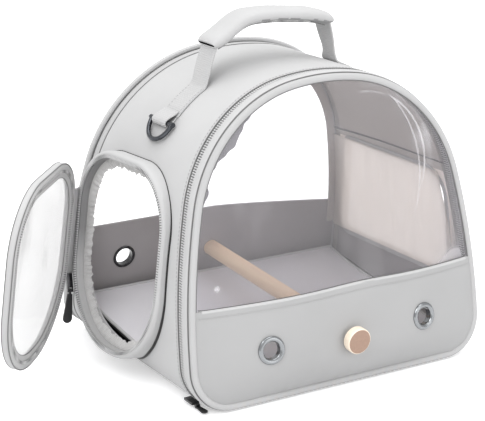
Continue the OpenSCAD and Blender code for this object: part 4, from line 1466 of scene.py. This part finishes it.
def ribbon(name, path, w, t, narrow=None):
    """A strip of webbing along a path of (x, z) points, with rounded edges."""
    rows = []
    for i, (x, z) in enumerate(path):
        before, after = path[max(0, i - 1)], path[min(len(path) - 1, i + 1)]
        d = Vector((after[0] - before[0], 0, after[1] - before[1])).normalized()
        n = Vector((-d.z, 0, d.x))
        share = narrow(i / (len(path) - 1)) if narrow else 1.0
        half = w / 2 * share
        row = []
        for a, b in ((-1, -0.35), (-0.97, -1), (-0.5, -1), (0, -1), (0.5, -1), (0.97, -1), (1, -0.35),
                     (1, 0.35), (0.97, 1), (0.5, 1), (0, 1), (-0.5, 1), (-0.97, 1), (-1, 0.35)):
            cup = (1 - share) * w * 0.22 * (a * a)
            row.append(Vector((x, HANDLE_Y + a * half, z)) + n * (b * t / 2 - cup))
        rows.append(row)
    return skin(name, rows, loop_cols=True, caps=True)


GRIP_SIDES = 24


class Grip:
    """The padded grip's arch."""

    def __init__(self):
        span, rise, top = 130 * MM, 16.5 * MM, 315.5 * MM
        self.tilt = radians(4.5)
        self.t, self.w = 14 * MM, 30 * MM
        outer = ((span / 2) ** 2 + rise ** 2) / (2 * rise)
        self.half_a = asin(span / 2 / outer)
        self.r = outer - self.t / 2
        self.centre = (0.7 * MM, top - outer)

    def place(self, a, up, y=HANDLE_Y):
        """A place at the angle a along the arch, up from the middle of its thickness."""
        t = a / self.half_a
        bend = (1.8 * exp(-((t + 0.36) / 0.2) ** 2) - 2.6 * exp(-((t + 0.84) / 0.22) ** 2)
                - 2.6 * exp(-((t - 0.35) / 0.4) ** 2))
        r = self.r + up + bend * MM
        a -= self.tilt
        return Vector((self.centre[0] + r * sin(a), y, self.centre[1] + r * cos(a)))


def signed_power(value, power):
    return (1 if value > 0 else -1) * abs(value) ** power


def grip_section(grip, t):
    """The grip's rounded section at the share t from its middle, -1 at one end and 1 at the other"""
    a = grip.half_a * t
    ends = 1 - exp(-(1 - abs(t)) * 26)
    thick = grip.t * (0.5 + 0.5 * ends) * (0.93 - 0.05 * t)
    wide = grip.w * (0.93 + 0.07 * ends)
    row = []
    for q in turns(GRIP_SIDES):
        across = wide / 2 * signed_power(cos(q), 0.6)
        up = thick / 2 * signed_power(sin(q), 0.85) * (0.9 if sin(q) < 0 else 1)
        row.append(grip.place(a, up + ripple((across, a, q), 30, 0.4 * MM), HANDLE_Y + across))
    return row


def grip_end(grip, end, sign):
    """Three rings that turn the grip's end in to its hollow"""
    a = grip.half_a * sign
    centre = grip.place(a, 0)
    rings = []
    for depth, share, narrow in ((0.0, 0.43, 0.97), (0.02, 0.4, 0.94), (0.10, 0.35, 0.94)):
        shift = centre - grip.place(a - sign * depth, 0)
        rings.append([centre + (p - centre) * Vector((share, narrow, share)) - shift for p in end])
    return rings


def build_handle():
    """The padded grip with its open rubber ends, and the webbing that carries it"""
    grip = Grip()
    rows = [grip_section(grip, 2 * i / 60 - 1) for i in range(61)]
    rows = list(reversed(grip_end(grip, rows[0], -1))) + rows + grip_end(grip, rows[-1], 1)
    sleeve = tube("padded_grip", rows, "handle", "cloth", "cloth", "handle_grip", loop=False)
    sleeve.data.materials.append(material("rubber"))
    sleeve.data.materials.append(material("facing"))
    for poly in sleeve.data.polygons:
        rings = {v // GRIP_SIDES for v in poly.vertices}
        # painted shade: the rings that turn in to the open ends take the black rubber, as the shade inside
        # the hollow
        if max(rings) <= 2 or min(rings) >= len(rows) - 3:
            poly.material_index = 1
        # painted shade: the underside, right of the left end, takes the darker facing tone
        elif poly.normal.z < -0.55 and poly.center.x > -22 * MM:
            poly.material_index = 2
    for name, across in (("grip_seam_front", -8.5 * MM), ("grip_seam_rear", 8.5 * MM)):
        line = [grip.place(grip.half_a * (2 * i / 60 - 1) * 0.97, -grip.t / 2 * 0.86, HANDLE_Y + across)
                for i in range(1, 60)]
        bead(name, line, Vector((0, 0, -1)), 0.5 * MM, "handle", "seam", "cloth", loop=False)
    build_risers(grip)


def build_risers(grip):
    """Each side's webbing: sewn over the shoulder, then up into the grip."""
    s = sizes()
    t, start_a, steps = 1.6 * MM, radians(43.5), 26
    c, r = OUTLINE.shoulder_c, OUTLINE.shoulder_r
    for name, side, lift_x in (("left", -1, 78 * MM), ("right", 1, 60 * MM)):
        mirror = Vector((side, 1))
        lift_a = atan2(sqrt(r * r - (lift_x - c.x) ** 2), lift_x - c.x)
        on_roof = [OUTLINE.shoulder(start_a + (lift_a - start_a) * i / steps, t / 2 + 0.1 * MM) * mirror
                   for i in range(steps + 1)]
        end = grip.place(grip.half_a * side * 0.97, -grip.t * 0.2).xz
        last = on_roof[-1]
        pull = last + (last - on_roof[-2]).normalized() * 5 * MM
        rise = bezier(last, pull, Vector((last.x + (end.x - last.x) * 0.35, last.y + 16 * MM)), end, 22)
        narrow = (lambda u: 1 - 0.26 * exp(-((u - 0.76) / 0.12) ** 2)) if side > 0 else None
        strap = ribbon(f"handle_webbing_{name}_strap", on_roof + rise[1:], s.webbing_w, t, narrow)
        strap.data.materials.append(material("webbing"))
        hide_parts("handle_webbing_" + name, *(["handle_risers"] if side < 0 else []))
        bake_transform(strap)
        sewn = on_roof[2:]
        normals = [(p - c * mirror).normalized() for p in sewn]
        normals = [Vector((n.x, 0, n.y)) for n in normals]
        for k, across in enumerate((-1, 1)):
            y = HANDLE_Y + across * (s.webbing_w / 2 - 1.8 * MM)
            points = [Vector((p.x, y, p.y)) + n * t * 0.52 for p, n in zip(sewn, normals)]
            stitches(f"webbing_stitches_{name}_{k + 1}", points, normals, "body", "cloth")
        build_ring_loop(name, mirror)
        repaint("strap_ring_" + name, "gunmetal")


def build_ring_loop(name, mirror):
    """Webbing folded round the strap ring's bar and sewn to the shoulder."""
    a = radians(39.5)
    bar = OUTLINE.shoulder(a, 4.2 * MM)
    out, up = Vector((cos(a), sin(a))), Vector((-sin(a), cos(a)))
    folded = []
    for i in range(17):
        q = pi / 2 - pi * 1.05 * i / 16
        folded.append(bar + (out * sin(q) - up * cos(q)) * 3.2 * MM)
    top = OUTLINE.shoulder(radians(45.5), 3.0 * MM)
    low = OUTLINE.shoulder(radians(44.5), 0.6 * MM)
    lead = bezier(top, top - up * 4 * MM, folded[0] + up * 4 * MM, folded[0], 8)
    tail = bezier(folded[-1], folded[-1] + up * 3 * MM, low - up * 3 * MM, low, 8)
    path = [p * mirror for p in lead[:-1] + folded + tail[1:]]
    loop = ribbon(f"ring_loop_{name}_cloth", path, 23 * MM, 1.4 * MM)
    dress(loop, "body", "webbing", "cloth", "ring_loop_" + name)


# ---- Hardware, wood and floor ----

def build_hardware():
    for node in ("flap_eyelets", "flap_eyelet_washers"):
        repaint(node, "chrome")
    for node in ("door_slider", "front_slider"):
        eased(node + "_body", node, 0.5 * MM, "body", "black_metal", "black_metal")
    for node in ("door_pull", "front_pull"):
        eased(node + "_moulding", node, 0.6 * MM, node, "rubber", "pull_rubber")


def build_wood():
    repaint("perch", "perch")
    for node in ("perch_inserts", "front_knob_screw", "rear_knob_screw"):
        repaint(node, "brass")
    for node in ("front_knob", "rear_knob"):
        knob = eased(node + "_turning", node, 0.4 * MM, node, "knob", "wood", segments=2)
        knob.data.materials.append(material("wood_end"))
        for poly in knob.data.polygons:
            facing = -poly.normal.y if node == "front_knob" else poly.normal.y
            if facing > 0.9:
                poly.material_index = 1


CURL_START, CURL_RUN, CURL_HEIGHT = 50 * MM, 54 * MM, 5 * MM


def floor_curl(y):
    """How far the floor board's rear edge curls up against the rear panel."""
    return CURL_HEIGHT * min(1, max(0, (y - CURL_START) / CURL_RUN)) ** 2


def floor_top(y):
    """Height of the floor board's top"""
    return 23 * MM + tan(FLOOR_RISE) * (y + 3 * MM) + floor_curl(y)


def curl_rear(bm):
    """Cuts the board into strips from front to rear, and curls them."""
    for k in range(12):
        parts = bm.verts[:] + bm.edges[:] + bm.faces[:]
        fold = (0, CURL_START + 4.6 * k * MM, 0)
        bmesh.ops.bisect_plane(bm, geom=parts, plane_co=fold, plane_no=(0, 1, 0))
    for vert in bm.verts:
        vert.co.z += floor_curl(vert.co.y)


def build_floor_board():
    """The cloth-covered floor board and the piping round its edge"""
    board = eased("floor_board_pad", "floor_board", 1.3 * MM, "floor", "floor", "floor_cloth",
                  reshape=curl_rear)
    board.data.materials.append(material("shadow"))
    for poly in board.data.polygons:
        if poly.normal.z < 0.3 and poly.normal.y < 0.7:
            poly.material_index = 1

    def edge(share, y):
        half = min(138 * MM, OUTLINE.half_width(floor_top(y), 5.6 * MM)[0]) - 0.6 * MM
        return Vector((half * share, y, floor_top(y)))
    front, rear = -110 * MM, 104 * MM
    depths = [front + (rear - front) * i / 40 for i in range(41)]
    points = [edge(1, y) for y in depths]
    points += [edge(1 - i / 20, rear) for i in range(1, 40)]
    points += [edge(-1, y) for y in reversed(depths)]
    points += [edge(i / 20 - 1, front) for i in range(1, 40)]
    bead("floor_board_binding", points, Vector((0, 0, 1)), 1.4 * MM, "floor", "cloth", "floor_cloth", 8)


# ---- Stage ----

# Lamps: name, place in metres, width in metres and power in watts
LAMPS = [("key", (-1.7, -1.1, 2.3), 1.6, 35), ("fill", (1.0, -2.4, 1.0), 1.8, 20),
         ("top", (0.2, 0.4, 2.6), 2.2, 30)]
LAMP_AIM = Vector((0, 0, 0.12))
SKY_LIGHT = 0.90                # what lights the carrier; the eye sees plain white
FLOOR_GLOW = 0.42
WHITE = (1, 1, 1, 1)


def build_stage_floor():
    """A wide pale floor that looks brighter than the light it gives back"""
    bpy.context.scene.view_settings.view_transform = "Standard"
    paint = Paint("stage_floor")
    seen = (paint.ray("Is Camera Ray") + paint.ray("Is Glossy Ray")
            + paint.ray("Is Transmission Ray")).maths("MINIMUM", 1.0)
    matt = paint.principled((0.86, 0.86, 0.865), 0.9)
    glow = paint.add("ShaderNodeEmission", None, {"Color": WHITE, "Strength": FLOOR_GLOW})
    both = paint.add("ShaderNodeAddShader", None, {0: matt, 1: glow})
    look = paint.done(paint.add("ShaderNodeMixShader", None, {0: seen, 1: matt, 2: both}))
    bm = bmesh.new()
    bmesh.ops.create_circle(bm, cap_ends=True, segments=96, radius=6.0)
    mesh = bpy.data.meshes.new("stage_floor")
    bm.to_mesh(mesh)
    bm.free()
    floor = add_object("stage_floor", mesh)
    floor.location.z = -0.6 * MM
    mesh.materials.append(look)


def build_lights():
    """A white world and three soft lamps"""
    world = bpy.data.worlds.new("studio")
    bpy.context.scene.world = world
    sky = Paint("studio", world)
    seen = sky.ray("Is Camera Ray").most(sky.ray("Is Transmission Ray"))
    plain = sky.add("ShaderNodeBackground", None, {0: WHITE, 1: SKY_LIGHT})
    bright = sky.add("ShaderNodeBackground", None, {0: WHITE, 1: 1.0})
    sky.done(sky.add("ShaderNodeMixShader", None, {0: seen, 1: plain, 2: bright}))
    for name, place, size, power in LAMPS:
        lamp = bpy.data.lights.new(name, "AREA")
        lamp.energy = power
        lamp.size = size
        ob = add_object(name, lamp)
        ob.location = place
        ob.rotation_euler = (LAMP_AIM - Vector(place)).to_track_quat("-Z", "Y").to_euler()


def build_camera():
    """The view that the outlines were fitted to"""
    camera = bpy.data.cameras.new("camera")
    camera.sensor_width = 36.0
    camera.sensor_fit = "HORIZONTAL"
    camera.lens = 122.47
    ob = add_object("camera", camera)
    azimuth, elevation = radians(-31.325), radians(16.771)
    ob.location = Vector((-765.0, -1208.2, 556.7)) * MM
    ob.rotation_euler = (pi / 2 - elevation, 0, azimuth)
    bpy.context.scene.camera = ob


# ---- Add-on ----

class CarrierStep:
    bl_options = {"REGISTER", "UNDO"}

    def execute(self, context):
        self.make()
        return {"FINISHED"}


def step(idname, label, text, *makers):
    """An operator that calls the makers in order."""
    def make():
        for maker in makers:
            maker()
    return type("CARRIER_OT_" + idname, (CarrierStep, bpy.types.Operator), {
        "__doc__": text, "bl_idname": "carrier." + idname, "bl_label": label, "make": staticmethod(make)})


STEPS = [
    step("cover", "Cover and lining", "Outer cloth, lining and boards", build_cover),
    step("rear", "Rear", "Rear edge, panel and clear window", build_rear_edge, build_rear_panel,
         build_rear_window),
    step("mesh_window", "Mesh window", "Gathered net window and its binding", build_window_binding,
         build_net_window),
    step("flap", "Front flap", "Padded panel, clear window, edges and zip", build_flap_panel,
         build_front_hem, build_flap_window, build_window_fold, build_flap_edges),
    step("collar", "Door collar", "Collar, its zip and its net frill", build_collar, build_fringe),
    step("door", "Side door", "Padded door, clear panel and cloth hinge", build_door, build_door_sheet,
         build_hinge),
    step("handle", "Handle", "Grip, webbing and strap rings", build_handle),
    step("hardware", "Hardware", "Eyelets, sliders and pulls", build_hardware),
    step("wood", "Perch and knobs", "Wooden perch, knobs and screws", build_wood),
    step("floor", "Floor board", "Cloth-covered floor board", build_floor_board),
    step("stage", "Stage", "Floor, lights and camera", build_stage_floor, build_lights,
         build_camera),
]


class CARRIER_PT_panel(bpy.types.Panel):
    """Sizes, colours and steps of the carrier"""
    bl_label = "Carrier"
    bl_idname = "CARRIER_PT_panel"
    bl_space_type = "VIEW_3D"
    bl_region_type = "UI"
    bl_category = "Carrier"

    def draw(self, context):
        for group in (context.scene.carrier_sizes, context.scene.carrier_colours):
            box = self.layout.box()
            for key in group.__annotations__:
                box.prop(group, key)
        for kind in STEPS:
            self.layout.operator(kind.bl_idname)


CLASSES = [CarrierSizes, CarrierColours, *STEPS, CARRIER_PT_panel]


def register():
    for kind in CLASSES:
        bpy.utils.register_class(kind)
    bpy.types.Scene.carrier_sizes = bpy.props.PointerProperty(type=CarrierSizes)
    bpy.types.Scene.carrier_colours = bpy.props.PointerProperty(type=CarrierColours)


def unregister():
    del bpy.types.Scene.carrier_colours
    del bpy.types.Scene.carrier_sizes
    for kind in reversed(CLASSES):
        bpy.utils.unregister_class(kind)


def main():
    global OUTLINE, COLLAR
    register()
    OUTLINE = Outline()
    COLLAR = CollarFrame()
    for kind in STEPS:
        getattr(bpy.ops.carrier, kind.bl_idname.split(".")[1])()


if __name__ == "__main__":
    main()
